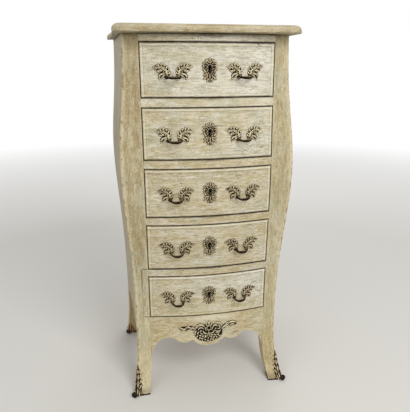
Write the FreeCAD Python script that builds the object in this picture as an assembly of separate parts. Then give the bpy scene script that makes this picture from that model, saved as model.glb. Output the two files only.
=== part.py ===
"""A tall, narrow bombé chest of drawers on four splayed legs.

Millimetres, +Z up, front toward -Y, origin on the floor under the middle of the chest.
Every wooden show surface is cut from one swelling body (see swelling_body), so posts,
rails, apron, side panels and drawer fronts stay flush when a size changes.
"""
import FreeCAD, Part
import math
import os

os.makedirs("parts", exist_ok=True)

# ---------------------------------------------------------------- driving dimensions
# overall
total_height = 1150.0
top_thickness = 22.0
drawer_count = 5
opening_width = 385.0
opening_height = 148.5
rail_height = 26.0
top_rail_height = 22.0
leg_zone_height = 259.5         # the heights under the lowest drawer are drawn for this one

# plan of the body, away from the swelling
front_edge_depth = 147.0        # from the middle plane to the front, beside the drawers
front_bow = 19.0                # how far the front bows forward at the middle
arris_half_width = 236.0        # half width over the front corners
arris_setback = 13.0            # the front corner lies this far behind the drawer's end
back_half_width = 265.0         # half width at the back
back_depth = 206.0              # from the middle plane to the back of the case
corner_round = 4.0              # rounding of the front corners

# the swelling of the front and sides
belly_height = 768.0            # where the sides are widest
belly_out = 22.5
belly_reach_up = 200.0
belly_reach_down = 265.0
front_belly_height = 700.0      # where the front stands furthest out
front_belly_reach_up = 220.0
front_belly_reach_down = 260.0
belly_forward = 15.5            # at the drawers
belly_corner_forward = 20.0     # further forward at the front corners
body_stations = 13

# case joinery
post_back_depth = 95.0          # back face of the front posts, in front of the middle plane
back_post_depth = 44.0
side_thickness = 18.0
side_bottom_height = 200.0
side_arch_rise = 24.0
back_panel_thickness = 10.0
back_panel_inset = 2.0
back_panel_bottom = 215.0
bottom_board_thickness = 12.0
panel_fit = 0.5
runner_width = 22.0             # under the drawer side
runner_thickness = 20.0
guide_width = 12.0
guide_height = 18.0
guide_to_post = 11.5            # sideways, from a guide to the back post
stop_length = 12.0
stop_width = 20.0
stop_height = 16.0
stop_spare = 10.0               # between the stops and the back panel

# legs and feet
leg_top = 215.0                 # the leg starts to splay below this height
splay_power = 3.5
sole_thickness = 4.0
sole_lip = 1.6
front_splay_inner = (13.0, -58.0)
front_splay_arris = (18.0, -73.5)
front_splay_side = (10.0, -67.5)
front_splay_rear = (15.5, -68.5)
back_splay_outer = (13.0, 2.0)
back_splay_front = (10.5, 8.0)
back_splay_inner_front = (8.0, 6.0)
back_splay_inner_back = (6.0, 2.0)
waist_arris = 2.0               # sideways, halfway down the leg
waist_side = -7.0
leg_stations = 7
sabot_height = 105.0
sabot_thickness = 4.0
sabot_leaf_bottom = 24.0
sabot_leaf_top = 4.0
toe_radius = 7.0
toe_length = 15.0
toe_forward = 3.0               # out past the corner of the leg

# top board
top_front_overhang = 23.5       # beyond the bowed front, measured at the middle
top_ear_overhang = 24.0         # beyond the front corner, sideways
top_ear_radius = 26.0
top_side_overhang = 17.0
top_back_ear_overhang = 21.0
top_back_overhang = 10.0
top_upper_round = 12.5

# apron under the lowest drawer: heights, and places as shares of half the opening
apron_thickness = 22.0
apron_foot_height = 105.0
apron_lobe_height = 142.5
apron_cusp_height = 168.5
apron_side_lobe_height = 159.0
apron_arch_start_height = 168.0
apron_arch_height = 179.5
apron_cusp_place = 0.285
apron_side_lobe_place = 0.42
apron_arch_start_place = 0.55
apron_arch_place = 0.725
apron_arch_shoulder = (0.45, 0.14)          # shares of the way out and down to the foot
apron_arch_flank = (0.80, 0.48)

# drawers
front_gap = 1.5
side_clearance = 1.5
drawer_front_thickness = 22.0
drawer_side_thickness = 12.0
drawer_side_height = 128.0
drawer_back_thickness = 12.0
drawer_back_height = 122.0
drawer_bottom_thickness = 6.0
drawer_bottom_rise = 8.0
groove_depth = 5.0

# locks
keyhole_height = 81.5           # above the bottom of the opening
keyhole_radius = 4.5
keyhole_slot_width = 5.0
keyhole_slot_drop = 13.0
lock_width = 50.0
lock_depth = 11.0
lock_below_key = 20.0
bolt_width = 16.0
bolt_thickness = 5.0
bolt_length = 34.0
bolt_fit = 0.4
bolt_throw = 8.0
mortise_spare = 1.5

# mounts of bronze
handle_place = 102.0            # from the middle of the chest
handle_height = 71.0            # above the bottom of the opening
handle_relief = 6.0
handle_projection = 29.0
grip_radius = 4.2
grip_end_place = 21.0
grip_end_drop = 5.0
grip_sag = 17.5
stud_radius = 3.0
stud_length = 14.0
stud_fit = 0.1
wing_tip_place = 53.5
wing_tip_rise = 20.0
wing_root_outline = [(-6.0, 1.0), (1.0, -7.0), (12.0, -3.0), (19.0, 7.0)]
wing_tip_outline = [(-4.0, -8.0), (0.0, -1.5), (-9.0, 0.0)]
wing_back_outline = [(9.0, 17.0), (-2.0, 9.0)]
escutcheon_half_width = 20.5
escutcheon_above_key = 23.0
escutcheon_below_key = 37.5
escutcheon_relief = 4.0
escutcheon_upper_outline = [(0.55, 0.80), (0.92, 0.35), (1.00, -0.15)]      # shares of width and rise
escutcheon_lower_outline = [(0.80, 0.42), (0.62, 0.66), (0.45, 0.88)]       # shares of width and fall
apron_mount_height = 199.0
apron_mount_half_width = 97.0
apron_mount_shell_half_width = 42.0
apron_mount_shell_half_height = 40.0
apron_mount_relief = 7.0
apron_mount_crest = [(0.35, 0.72), (0.85, 0.62)]                            # shares of the shell
apron_mount_spray = [(0.68, 0.72), (0.92, 0.88), (1.00, 0.62), (0.86, 0.28), (0.62, 0.10)]
apron_mount_base = [(1.05, -0.05), (0.92, -0.50), (0.50, -0.92)]            # shares of the shell

# ---------------------------------------------------------------- sizes that follow
case_top = total_height - top_thickness
opening_half = opening_width / 2.0
back_post_inner = opening_half + guide_width + guide_to_post      # half the way between the back posts
pitch = opening_height + rail_height
drawer_stack = drawer_count * opening_height + (drawer_count - 1) * rail_height
case_bottom = case_top - top_rail_height - drawer_stack
post_back_y = -post_back_depth
back_post_front_y = back_depth - back_post_depth
back_panel_back_y = back_depth - back_panel_inset
back_panel_front_y = back_panel_back_y - back_panel_thickness
drawer_half = opening_half - side_clearance
reach = 2.0 * (back_half_width + back_depth)      # larger than the chest in plan
touch = 0.01                                      # closer than this is the same place
drawer_box_back = back_panel_front_y - stop_spare - stop_length      # the stops stand behind it

# legs, apron and side panels keep their proportions under the case; what hangs from the
# case's bottom keeps its distance from it
leg_zone_scale = case_bottom / leg_zone_height
splay_top = leg_top * leg_zone_scale
apron_foot_z = apron_foot_height * leg_zone_scale
side_panel_low = side_bottom_height * leg_zone_scale
back_panel_low = case_bottom - (leg_zone_height - back_panel_bottom)
apron_mount_z = case_bottom - (leg_zone_height - apron_mount_height)


def vec(x, y, z):
    """A point or direction."""
    return FreeCAD.Vector(x, y, z)


def box(x0, x1, y0, y1, z0, z1):
    """A block between two corners."""
    return Part.makeBox(x1 - x0, y1 - y0, z1 - z0, vec(x0, y0, z0))


def mirrored(shape):
    """The left-hand twin of a right-hand shape."""
    return shape.mirror(vec(0, 0, 0), vec(1, 0, 0))


def group(shapes):
    """Several separate solids as one node."""
    solids = []
    for shape in shapes:
        solids.extend(shape.Solids)
    return Part.Compound(solids)


def prism(wire, direction):
    """A solid drawn from a flat closed wire."""
    return Part.Face(wire).extrude(direction)


def save(name, shape):
    """Write one node, tidied to plain solids."""
    solids = shape.Solids
    kept = solids[0] if len(solids) == 1 else Part.Compound(solids)
    kept.exportStep("parts/" + name + ".step")


# ---------------------------------------------------------------- the swelling body
def swelling(z, height, reach_up, reach_down):
    """1 at a belly's height, fading to 0 above and below it."""
    spread = reach_up if z > height else reach_down
    return math.exp(-((z - height) / spread) ** 2)


def side_swelling(z):
    """Share of the sides' belly at one height."""
    return swelling(z, belly_height, belly_reach_up, belly_reach_down)


def front_swelling(z):
    """Share of the front's belly at one height."""
    return swelling(z, front_belly_height, front_belly_reach_up, front_belly_reach_down)


def front_edge_y(z):
    """The front beside the drawers."""
    return -front_edge_depth - belly_forward * front_swelling(z)


def front_y(x, z):
    """The front surface between the posts."""
    radius = (opening_half ** 2 + front_bow ** 2) / (2.0 * front_bow)
    drop = radius - math.sqrt(radius ** 2 - x ** 2)
    return front_edge_y(z) - front_bow + drop


def arris_point(z):
    """The front corner on the right, before rounding."""
    x = arris_half_width + belly_out * side_swelling(z)
    y = front_edge_y(z) + arris_setback - belly_corner_forward * front_swelling(z)
    return x, y


def back_corner_x(z):
    """Half the width at the back."""
    return back_half_width + belly_out * side_swelling(z)


def side_x(y, z):
    """The side surface on the right."""
    ax, ay = arris_point(z)
    share = (y - ay) / (back_depth - ay)
    return ax + share * (back_corner_x(z) - ax)


def rounded_corner(before, corner, after, cut):
    """Start, middle and end of an arc that rounds a corner, cut back by a set length."""
    start = corner + (before - corner).normalize() * cut
    end = corner + (after - corner).normalize() * cut
    half_angle = (before - corner).getAngle(after - corner) / 2.0
    middle = corner + ((start + end) * 0.5 - corner) * (1.0 / (1.0 + math.sin(half_angle)))
    return start, middle, end


def body_section(z):
    """The outline of the body in plan at one height."""
    edge_y = front_edge_y(z)
    ax, ay = arris_point(z)
    bx = back_corner_x(z)
    front_right = vec(opening_half, edge_y, z)
    arris = vec(ax, ay, z)
    back_right = vec(bx, back_depth, z)
    start, middle, end = rounded_corner(front_right, arris, back_right, corner_round)

    def left(point):
        return vec(-point.x, point.y, point.z)

    edges = [
        Part.Arc(left(front_right), vec(0, edge_y - front_bow, z), front_right).toShape(),
        Part.makeLine(front_right, start),
        Part.Arc(start, middle, end).toShape(),
        Part.makeLine(end, back_right),
        Part.makeLine(back_right, left(back_right)),
        Part.makeLine(left(back_right), left(end)),
        Part.Arc(left(end), left(middle), left(start)).toShape(),
        Part.makeLine(left(start), left(front_right)),
    ]
    return Part.Wire(edges)


def swelling_body():
    """The whole body as one solid, from the foot of the apron to the top board."""
    step = (case_top - splay_top) / (body_stations - 1)
    wires = [body_section(apron_foot_z)]
    for index in range(body_stations):
        wires.append(body_section(splay_top + index * step))
    return Part.makeLoft(wires, True, False)


BODY = swelling_body()


def relief(outline_prism, thickness):
    """An applied ornament that follows the front at an even thickness."""
    proud = BODY.translated(vec(0, -thickness, 0))
    return outline_prism.common(proud).cut(BODY)


def spline_outline(points, y):
    """A closed smooth outline in a plane facing the front."""
    curve = Part.BSplineCurve()
    curve.interpolate([vec(x, y, z) for x, z in points], PeriodicFlag=True)
    return Part.Wire([curve.toShape()])


# ---------------------------------------------------------------- drawer levels
def opening_bottom(number):
    """Bottom of an opening; drawers are counted from the top."""
    return case_bottom + (drawer_count - number) * pitch


def front_back_y(number):
    """Flat back face of a drawer front."""
    low = opening_bottom(number)
    return max(front_edge_y(low), front_edge_y(low + opening_height)) + drawer_front_thickness


def bolt_middle_y(number):
    """Middle plane of a lock's bolt."""
    return front_back_y(number) - lock_depth / 2.0


# ---------------------------------------------------------------- legs
def leg_corners(z, plan):
    """Plan corners of a leg, splayed from its top toward the floor and waisted on the way."""
    down = (splay_top - z) / splay_top
    splayed = down ** splay_power
    waisted = math.sin(math.pi * down) ** 2
    points = []
    for (x, y), (dx, dy), waist in plan:
        points.append(vec(x + splayed * dx + waisted * waist, y + splayed * dy, z))
    return points


def leg_wire(points, rounded):
    """Outline of a leg in plan, with one corner rounded, or none for 0."""
    count = len(points)
    edges = []
    here = points[0]
    for index in range(1, count + 1):
        corner = points[index % count]
        if index == rounded:
            start, middle, end = rounded_corner(points[index - 1], corner,
                                                points[(index + 1) % count], corner_round)
            edges.append(Part.makeLine(here, start))
            edges.append(Part.Arc(start, middle, end).toShape())
            here = end
        else:
            edges.append(Part.makeLine(here, corner))
            here = corner
    return Part.Wire(edges)


def front_leg_plan():
    """Inner front, arris, side and inner rear corners of a front leg: top, splay, waist."""
    edge = (opening_half, front_edge_y(splay_top))
    side = (side_x(post_back_y, splay_top), post_back_y)
    rear = (opening_half, post_back_y)
    return [
        (edge, front_splay_inner, 0.0),
        (arris_point(splay_top), front_splay_arris, waist_arris),
        (side, front_splay_side, waist_side),
        (rear, front_splay_rear, 0.0),
    ]


def back_leg_plan():
    """Outer back, outer front, inner front and inner back corners of a back leg."""
    outer = (back_corner_x(splay_top), back_depth)
    front = (side_x(back_post_front_y, splay_top), back_post_front_y)
    return [
        (outer, back_splay_outer, 0.0),
        (front, back_splay_front, 0.0),
        ((back_post_inner, back_post_front_y), back_splay_inner_front, 0.0),
        ((back_post_inner, back_depth), back_splay_inner_back, 0.0),
    ]


def leg(plan, rounded):
    """A splayed leg from the sole to the leg's top."""
    step = (splay_top - sole_thickness) / (leg_stations - 1)
    wires = []
    for index in reversed(range(leg_stations)):
        wires.append(leg_wire(leg_corners(splay_top - index * step, plan), rounded))
    return Part.makeLoft(wires, True, False)


def front_post():
    """Right front post and leg, one length of wood."""
    block = box(opening_half, reach, -reach, post_back_y, splay_top, case_top)
    post = BODY.common(block)
    return post.fuse(leg(front_leg_plan(), 1)).removeSplitter()


def back_post():
    """Right back post and leg."""
    block = box(back_post_inner, reach, back_post_front_y, reach, splay_top, case_top)
    post = BODY.common(block)
    return post.fuse(leg(back_leg_plan(), 0)).removeSplitter()


def sabot(plan, leg_solid):
    """A bronze shoe: sole plate, a leaf up the outer corner and a small scroll at the toe."""
    def leaf_wire(z, leaf_width):
        before, corner, after = leg_corners(z, plan)[:3]
        to_before = (before - corner).normalize()
        to_after = (after - corner).normalize()
        middle = (to_before + to_after).normalize()
        spread = to_before.getAngle(to_after) / 2.0
        nose = corner - middle * (sabot_thickness / math.sin(spread))
        side_before = nose + to_before * leaf_width
        side_after = nose + to_after * leaf_width
        inner = corner + middle * leaf_width
        return Part.makePolygon([nose, side_after, inner, side_before, nose])

    wires = []
    for index in range(leg_stations):
        share = index / (leg_stations - 1)
        height = sole_thickness + share * (sabot_height - sole_thickness)
        width = sabot_leaf_bottom + share * (sabot_leaf_top - sabot_leaf_bottom)
        wires.append(leaf_wire(height, width))
    leaf = Part.makeLoft(wires, True, False)

    floor_points = leg_corners(sole_thickness, plan)
    flat = [vec(point.x, point.y, 0) for point in floor_points]
    sole_face = Part.Face(Part.makePolygon(flat + [flat[0]])).makeOffset2D(sole_lip)
    sole = sole_face.extrude(vec(0, 0, sole_thickness))

    before, corner, after = floor_points[:3]
    middle = ((before - corner).normalize() + (after - corner).normalize()).normalize()
    across = vec(-middle.y, middle.x, 0)
    toe_middle = vec(corner.x, corner.y, toe_radius) - middle * toe_forward
    toe = Part.makeCylinder(toe_radius, toe_length, toe_middle - across * (toe_length / 2.0), across)
    return leaf.fuse([sole, toe]).cut(leg_solid).removeSplitter()


# ---------------------------------------------------------------- case
def top_board():
    """The top: a straight front between rounded ears, sides that widen toward the back.

    The moulded edge is run out past the back and cut off there, as it is on a real board.
    """
    ax = arris_point(case_top)[0]
    bx = back_corner_x(case_top)
    front = front_y(0, case_top) - top_front_overhang
    ear_x = ax + top_ear_overhang
    back = back_depth + top_back_overhang
    start = vec(ear_x - top_ear_radius, front, case_top)
    diagonal = top_ear_radius * (1.0 - math.sin(math.pi / 4.0))
    nose = vec(ear_x - diagonal, front + diagonal, case_top)
    end = vec(ear_x, front + top_ear_radius, case_top)
    waist = vec(side_x(0, case_top) + top_side_overhang, 0, case_top)
    rear = vec(bx + top_back_ear_overhang, back, case_top)
    guide_arc = Part.Arc(end, waist, rear)
    onward = guide_arc.tangent(guide_arc.LastParameter)[0]
    overrun = rear + onward * (top_thickness / onward.y)
    side = Part.BSplineCurve()
    side.interpolate([end, waist, rear, overrun], InitialTangent=vec(0, 1, 0), FinalTangent=onward)

    right = [Part.Arc(start, nose, end).toShape(), side.toShape()]
    left = [mirrored(edge) for edge in right]
    front_line = Part.makeLine(vec(-start.x, start.y, start.z), start)
    back_line = Part.makeLine(overrun, vec(-overrun.x, overrun.y, overrun.z))
    outline = Part.__sortEdges__(right + left + [front_line, back_line])
    board = prism(Part.Wire(outline), vec(0, 0, top_thickness))
    upper = []
    for edge in board.Edges:
        at_top = abs(edge.CenterOfMass.z - total_height) < touch
        at_back = abs(edge.CenterOfMass.y - overrun.y) < touch
        if at_top and not at_back:
            upper.append(edge)
    moulded = board.makeFillet(top_upper_round, upper)
    return moulded.common(box(-reach, reach, -reach, back, case_top, total_height))


def rail(z0, z1):
    """A cross rail between the posts, flush with the swelling front."""
    return BODY.common(box(-opening_half, opening_half, -reach, post_back_y, z0, z1))


def bolt_mortise(number):
    """The hole over a drawer that its lock bolt enters."""
    top = opening_bottom(number) + opening_height
    half = bolt_width / 2.0 + mortise_spare
    deep = bolt_thickness / 2.0 + mortise_spare
    middle = bolt_middle_y(number)
    return box(-half, half, middle - deep, middle + deep, top, top + bolt_throw + mortise_spare)


def front_apron():
    """The shaped rail under the lowest drawer."""
    y = -reach
    back_y = front_edge_y(case_bottom) + apron_thickness

    def at(share, height):
        return vec(share * opening_half, y, height * leg_zone_scale)

    cusp = at(apron_cusp_place, apron_cusp_height)
    arch_start = at(apron_arch_start_place, apron_arch_start_height)
    post_foot = at(1.0, apron_foot_height)
    way = 1.0 - apron_arch_place
    drop = apron_arch_height - apron_foot_height
    arch_points = [arch_start, at(apron_arch_place, apron_arch_height)]
    for out, down in (apron_arch_shoulder, apron_arch_flank):
        arch_points.append(at(apron_arch_place + out * way, apron_arch_height - down * drop))
    arch = Part.BSplineCurve()
    arch.interpolate(arch_points + [post_foot])
    right = [
        Part.Arc(cusp, at(apron_side_lobe_place, apron_side_lobe_height), arch_start).toShape(),
        arch.toShape(),
    ]
    left = [mirrored(edge) for edge in right]
    centre = Part.Arc(vec(-cusp.x, y, cusp.z), at(0, apron_lobe_height), cusp).toShape()
    corner_right = at(1.0, leg_zone_height)
    corner_left = at(-1.0, leg_zone_height)
    sides = [
        Part.makeLine(post_foot, corner_right),
        Part.makeLine(corner_right, corner_left),
        Part.makeLine(corner_left, vec(-post_foot.x, y, post_foot.z)),
    ]
    edges = Part.__sortEdges__([centre] + right + left + sides)
    return BODY.common(prism(Part.Wire(edges), vec(0, reach + back_y, 0)))


def side_panel():
    """Right side panel, bowed out with the body, its lower edge arched."""
    y0 = post_back_y
    y1 = back_post_front_y
    low = side_panel_low
    arch = Part.Arc(vec(0, y0, low), vec(0, (y0 + y1) / 2.0, low + side_arch_rise), vec(0, y1, low))
    edges = [
        arch.toShape(),
        Part.makeLine(vec(0, y1, low), vec(0, y1, case_top)),
        Part.makeLine(vec(0, y1, case_top), vec(0, y0, case_top)),
        Part.makeLine(vec(0, y0, case_top), vec(0, y0, low)),
    ]
    slab = prism(Part.Wire(edges), vec(reach, 0, 0))
    return BODY.common(slab).cut(BODY.translated(vec(-side_thickness, 0, 0)))


def bottom_board():
    """The board that carries the lowest drawer, notched round the posts."""
    low = case_bottom - bottom_board_thickness
    front = front_edge_y(case_bottom) + apron_thickness

    def inner_side(y):
        return min(side_x(y, low), side_x(y, case_bottom)) - side_thickness - panel_fit

    right = [
        (opening_half, front),
        (opening_half, post_back_y),
        (inner_side(post_back_y), post_back_y),
        (inner_side(back_post_front_y), back_post_front_y),
        (back_post_inner, back_post_front_y),
        (back_post_inner, back_panel_front_y),
    ]
    left = [(-x, y) for x, y in reversed(right)]
    points = [vec(x, y, low) for x, y in right + left]
    return prism(Part.makePolygon(points + [points[0]]), vec(0, 0, bottom_board_thickness))


def back_panel():
    """The back boards, let in between the back posts."""
    return box(-back_post_inner, back_post_inner, back_panel_front_y, back_panel_back_y,
               back_panel_low, case_top)


def guide(number):
    """Right guide strip, beside the drawer."""
    level = opening_bottom(number)
    return box(opening_half, opening_half + guide_width, post_back_y, back_panel_front_y,
               level, level + guide_height)


def runner(number):
    """Right runner, under the drawer side and the guide."""
    level = opening_bottom(number)
    return box(opening_half - runner_width, opening_half + guide_width, post_back_y,
               back_panel_front_y, level - runner_thickness, level)


def drawer_stop(number):
    """Right stop block behind the drawer side, standing on the runner."""
    level = opening_bottom(number)
    return box(opening_half - stop_width, opening_half, drawer_box_back,
               drawer_box_back + stop_length, level, level + stop_height)


# ---------------------------------------------------------------- drawers
def keyhole(number, y0, y1):
    """The keyhole as a solid to cut with: a round eye over a slot."""
    z = opening_bottom(number) + keyhole_height
    eye = Part.makeCylinder(keyhole_radius, y1 - y0, vec(0, y0, z), vec(0, 1, 0))
    half = keyhole_slot_width / 2.0
    slot = box(-half, half, y0, y1, z - keyhole_slot_drop, z)
    return eye.fuse(slot).removeSplitter()


def drawer_bottom(number):
    """Thin bottom, held in grooves in the front and sides."""
    level = opening_bottom(number) + drawer_bottom_rise
    half = drawer_half - drawer_side_thickness + groove_depth
    return box(-half, half, front_back_y(number) - groove_depth, drawer_box_back,
               level, level + drawer_bottom_thickness)


def drawer_sides(number):
    """The two drawer sides."""
    level = opening_bottom(number)
    side = box(drawer_half - drawer_side_thickness, drawer_half, front_back_y(number),
               drawer_box_back, level, level + drawer_side_height)
    side = side.cut(drawer_bottom(number))
    return group([side, mirrored(side)])


def drawer_back(number):
    """The drawer's back, standing on its bottom."""
    level = opening_bottom(number)
    half = drawer_half - drawer_side_thickness
    return box(-half, half, drawer_box_back - drawer_back_thickness, drawer_box_back,
               level + drawer_bottom_rise + drawer_bottom_thickness, level + drawer_back_height)


def lock_box(number):
    """Outer block of a lock: half let into the drawer front, open at its top edge."""
    back = front_back_y(number)
    key_z = opening_bottom(number) + keyhole_height
    top = opening_bottom(number) + opening_height - front_gap
    return box(-lock_width / 2.0, lock_width / 2.0, back - lock_depth, back,
               key_z - lock_below_key, top)


def lock_bolt(number):
    """The bolt, drawn back into the lock."""
    top = opening_bottom(number) + opening_height - front_gap
    middle = bolt_middle_y(number)
    return box(-bolt_width / 2.0, bolt_width / 2.0, middle - bolt_thickness / 2.0,
               middle + bolt_thickness / 2.0, top - bolt_length, top)


def lock_case(number):
    """The lock's case with the channel for its bolt and the key's way in."""
    top = opening_bottom(number) + opening_height - front_gap
    middle = bolt_middle_y(number)
    half_x = bolt_width / 2.0 + bolt_fit
    half_y = bolt_thickness / 2.0 + bolt_fit
    channel = box(-half_x, half_x, middle - half_y, middle + half_y, top - bolt_length - bolt_fit, top)
    way_in = keyhole(number, front_back_y(number) - lock_depth, middle)
    return lock_box(number).cut(channel).cut(way_in)


def stud(number, x, clearance):
    """A handle's stud, or with clearance the hole for it."""
    z = opening_bottom(number) + handle_height - grip_end_drop
    face = front_y(x, z)
    place = vec(x, face - handle_relief / 2.0, z)
    return Part.makeCylinder(stud_radius + clearance, stud_length + clearance, place, vec(0, 1, 0))


def stud_places(side):
    """Distances from the chest's middle of the two studs of one handle."""
    centre = side * handle_place
    return [centre - grip_end_place, centre + grip_end_place]


def drawer_front(number):
    """The thick front: bowed and swelling outside, flat inside."""
    low = opening_bottom(number) + front_gap
    high = opening_bottom(number) + opening_height - front_gap
    half = opening_half - front_gap
    front = BODY.common(box(-half, half, -reach, front_back_y(number), low, high))
    cuts = [lock_box(number), drawer_bottom(number), keyhole(number, -reach, front_back_y(number))]
    for side in (-1, 1):
        for x in stud_places(side):
            cuts.append(stud(number, x, stud_fit))
    return front.cut(cuts)


def wing_outline(number, side, hand):
    """Outline of one leafy wing of a handle."""
    centre_x = side * handle_place
    centre_z = opening_bottom(number) + handle_height
    root = [(grip_end_place + x, z - grip_end_drop) for x, z in wing_root_outline]
    tip = [(wing_tip_place + x, wing_tip_rise + z) for x, z in wing_tip_outline]
    back = [(grip_end_place + x, z - grip_end_drop) for x, z in wing_back_outline]
    placed = [(centre_x + hand * x, centre_z + z) for x, z in root + tip + back]
    return spline_outline(placed, -reach)


def handle(number, side):
    """A fixed pull: two leafy wings on the drawer front and a bowed grip between them."""
    centre_x = side * handle_place
    centre_z = opening_bottom(number) + handle_height
    root_z = centre_z - grip_end_drop
    pieces = []
    for hand in (-1, 1):
        outline = prism(wing_outline(number, side, hand), vec(0, reach, 0))
        pieces.append(relief(outline, handle_relief))
    for x in stud_places(side):
        pieces.append(stud(number, x, 0.0))

    left_x, right_x = stud_places(side)
    left_end = vec(left_x, front_y(left_x, root_z) - handle_relief / 2.0, root_z)
    right_end = vec(right_x, front_y(right_x, root_z) - handle_relief / 2.0, root_z)
    nose_y = front_y(centre_x, centre_z) - handle_projection + grip_radius
    nose = vec(centre_x, nose_y, centre_z - grip_sag)
    arc = Part.Arc(left_end, nose, right_end)
    path = Part.Wire([arc.toShape()])
    start_direction = arc.tangent(arc.FirstParameter)[0]
    profile = Part.Wire([Part.makeCircle(grip_radius, left_end, start_direction)])
    pieces.append(path.makePipeShell([profile], True, False))
    ball_left = Part.makeSphere(grip_radius, left_end)
    ball_right = Part.makeSphere(grip_radius, right_end)
    pieces.extend([ball_left, ball_right])
    return pieces[0].fuse(pieces[1:]).removeSplitter()


def both_sides(right):
    """Close an outline that starts and ends on the middle line by mirroring it."""
    return right + [(-x, z) for x, z in reversed(right[1:-1])]


def escutcheon(number):
    """The keyhole plate: a waisted shield in relief."""
    key_z = opening_bottom(number) + keyhole_height
    half = escutcheon_half_width
    right = [(0.0, escutcheon_above_key)]
    right.extend([(half * x, escutcheon_above_key * z) for x, z in escutcheon_upper_outline])
    right.extend([(half * x, -escutcheon_below_key * z) for x, z in escutcheon_lower_outline])
    right.append((0.0, -escutcheon_below_key))
    placed = [(x, key_z + z) for x, z in both_sides(right)]
    plate = relief(prism(spline_outline(placed, -reach), vec(0, reach, 0)), escutcheon_relief)
    return plate.cut(keyhole(number, -reach, 0))


def apron_mount():
    """The bronze on the apron: a shell cartouche between two leafy sprays."""
    half = apron_mount_shell_half_width
    tall = apron_mount_shell_half_height
    right = [(0.0, tall)]
    right.extend([(half * x, tall * z) for x, z in apron_mount_crest])
    right.extend([(apron_mount_half_width * x, tall * z) for x, z in apron_mount_spray])
    right.extend([(half * x, tall * z) for x, z in apron_mount_base])
    right.append((0.0, -tall))
    placed = [(x, apron_mount_z + z) for x, z in both_sides(right)]
    return relief(prism(spline_outline(placed, -reach), vec(0, reach, 0)), apron_mount_relief)


# ---------------------------------------------------------------- write the nodes
save("top_board", top_board())

right_front_post = front_post()
save("front_post_right", right_front_post)
save("front_post_left", mirrored(right_front_post))

right_back_post = back_post()
save("back_post_right", right_back_post)
save("back_post_left", mirrored(right_back_post))

right_side_panel = side_panel()
save("side_panel_right", right_side_panel)
save("side_panel_left", mirrored(right_side_panel))

save("back_panel", back_panel())
save("bottom_board", bottom_board())
save("front_apron", front_apron())

save("top_rail", rail(case_top - top_rail_height, case_top).cut(bolt_mortise(1)))
for number in range(2, drawer_count + 1):
    under = opening_bottom(number) + opening_height
    blade = rail(under, under + rail_height).cut(bolt_mortise(number))
    save("rail_" + str(number - 1), blade)

# the lowest drawer runs on the bottom board, so it has guides and stops but no runners
levels = range(1, drawer_count + 1)
on_runners = range(1, drawer_count)
right_side = [runner(number) for number in on_runners] + [guide(number) for number in levels]
save("drawer_runners", group(right_side + [mirrored(strip) for strip in right_side]))
right_stops = [drawer_stop(number) for number in levels]
save("drawer_stops", group(right_stops + [mirrored(block) for block in right_stops]))

front_sabot = sabot(front_leg_plan(), right_front_post)
save("sabots_front", group([front_sabot, mirrored(front_sabot)]))
back_sabot = sabot(back_leg_plan(), right_back_post)
save("sabots_back", group([back_sabot, mirrored(back_sabot)]))
save("apron_mount", apron_mount())

for number in range(1, drawer_count + 1):
    prefix = "drawer_" + str(number) + "_"
    save(prefix + "front", drawer_front(number))
    save(prefix + "sides", drawer_sides(number))
    save(prefix + "back", drawer_back(number))
    save(prefix + "bottom", drawer_bottom(number))
    save(prefix + "lock", lock_case(number))
    save(prefix + "lock_bolt", lock_bolt(number))
    save(prefix + "escutcheon", escutcheon(number))
    right_handle = handle(number, 1)
    save(prefix + "handles", group([right_handle, mirrored(right_handle)]))
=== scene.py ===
import math

import bmesh
import bpy
import numpy as np
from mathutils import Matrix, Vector
from mathutils.bvhtree import BVHTree


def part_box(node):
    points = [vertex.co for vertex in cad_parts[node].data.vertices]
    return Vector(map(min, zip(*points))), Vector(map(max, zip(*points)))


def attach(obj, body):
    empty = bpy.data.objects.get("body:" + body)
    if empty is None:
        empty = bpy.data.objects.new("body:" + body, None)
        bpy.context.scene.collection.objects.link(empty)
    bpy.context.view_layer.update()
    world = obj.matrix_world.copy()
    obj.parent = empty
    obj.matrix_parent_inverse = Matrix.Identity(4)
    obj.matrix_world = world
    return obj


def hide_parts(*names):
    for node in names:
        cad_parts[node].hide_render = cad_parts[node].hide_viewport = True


# The looks of a tall bombé chest of five drawers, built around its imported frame.
# Metres, +Z up, front toward -Y. Ornaments are drawn in millimetres and scaled by MM.

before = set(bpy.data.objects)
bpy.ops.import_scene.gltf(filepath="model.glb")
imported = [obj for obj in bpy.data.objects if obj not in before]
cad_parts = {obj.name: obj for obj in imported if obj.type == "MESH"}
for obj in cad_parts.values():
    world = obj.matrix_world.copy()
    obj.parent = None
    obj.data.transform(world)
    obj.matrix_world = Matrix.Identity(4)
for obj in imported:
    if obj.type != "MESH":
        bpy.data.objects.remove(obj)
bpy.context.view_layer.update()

MM = 0.001
DRAWERS = range(1, 6)

# ---- sizes read from the frame
CASE_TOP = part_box("top_board")[0].z
TOTAL_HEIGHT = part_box("top_board")[1].z
TOP_BACK_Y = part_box("top_board")[1].y
CASE_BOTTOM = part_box("bottom_board")[1].z
OPENING_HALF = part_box("rail_1")[1].x
POST_BACK_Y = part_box("rail_1")[1].y
BACK_POST_FRONT_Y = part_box("side_panel_right")[1].y
BACK_POST_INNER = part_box("back_panel")[1].x
SIDE_PANEL_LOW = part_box("side_panel_right")[0].z
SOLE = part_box("front_post_right")[0].z

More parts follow.
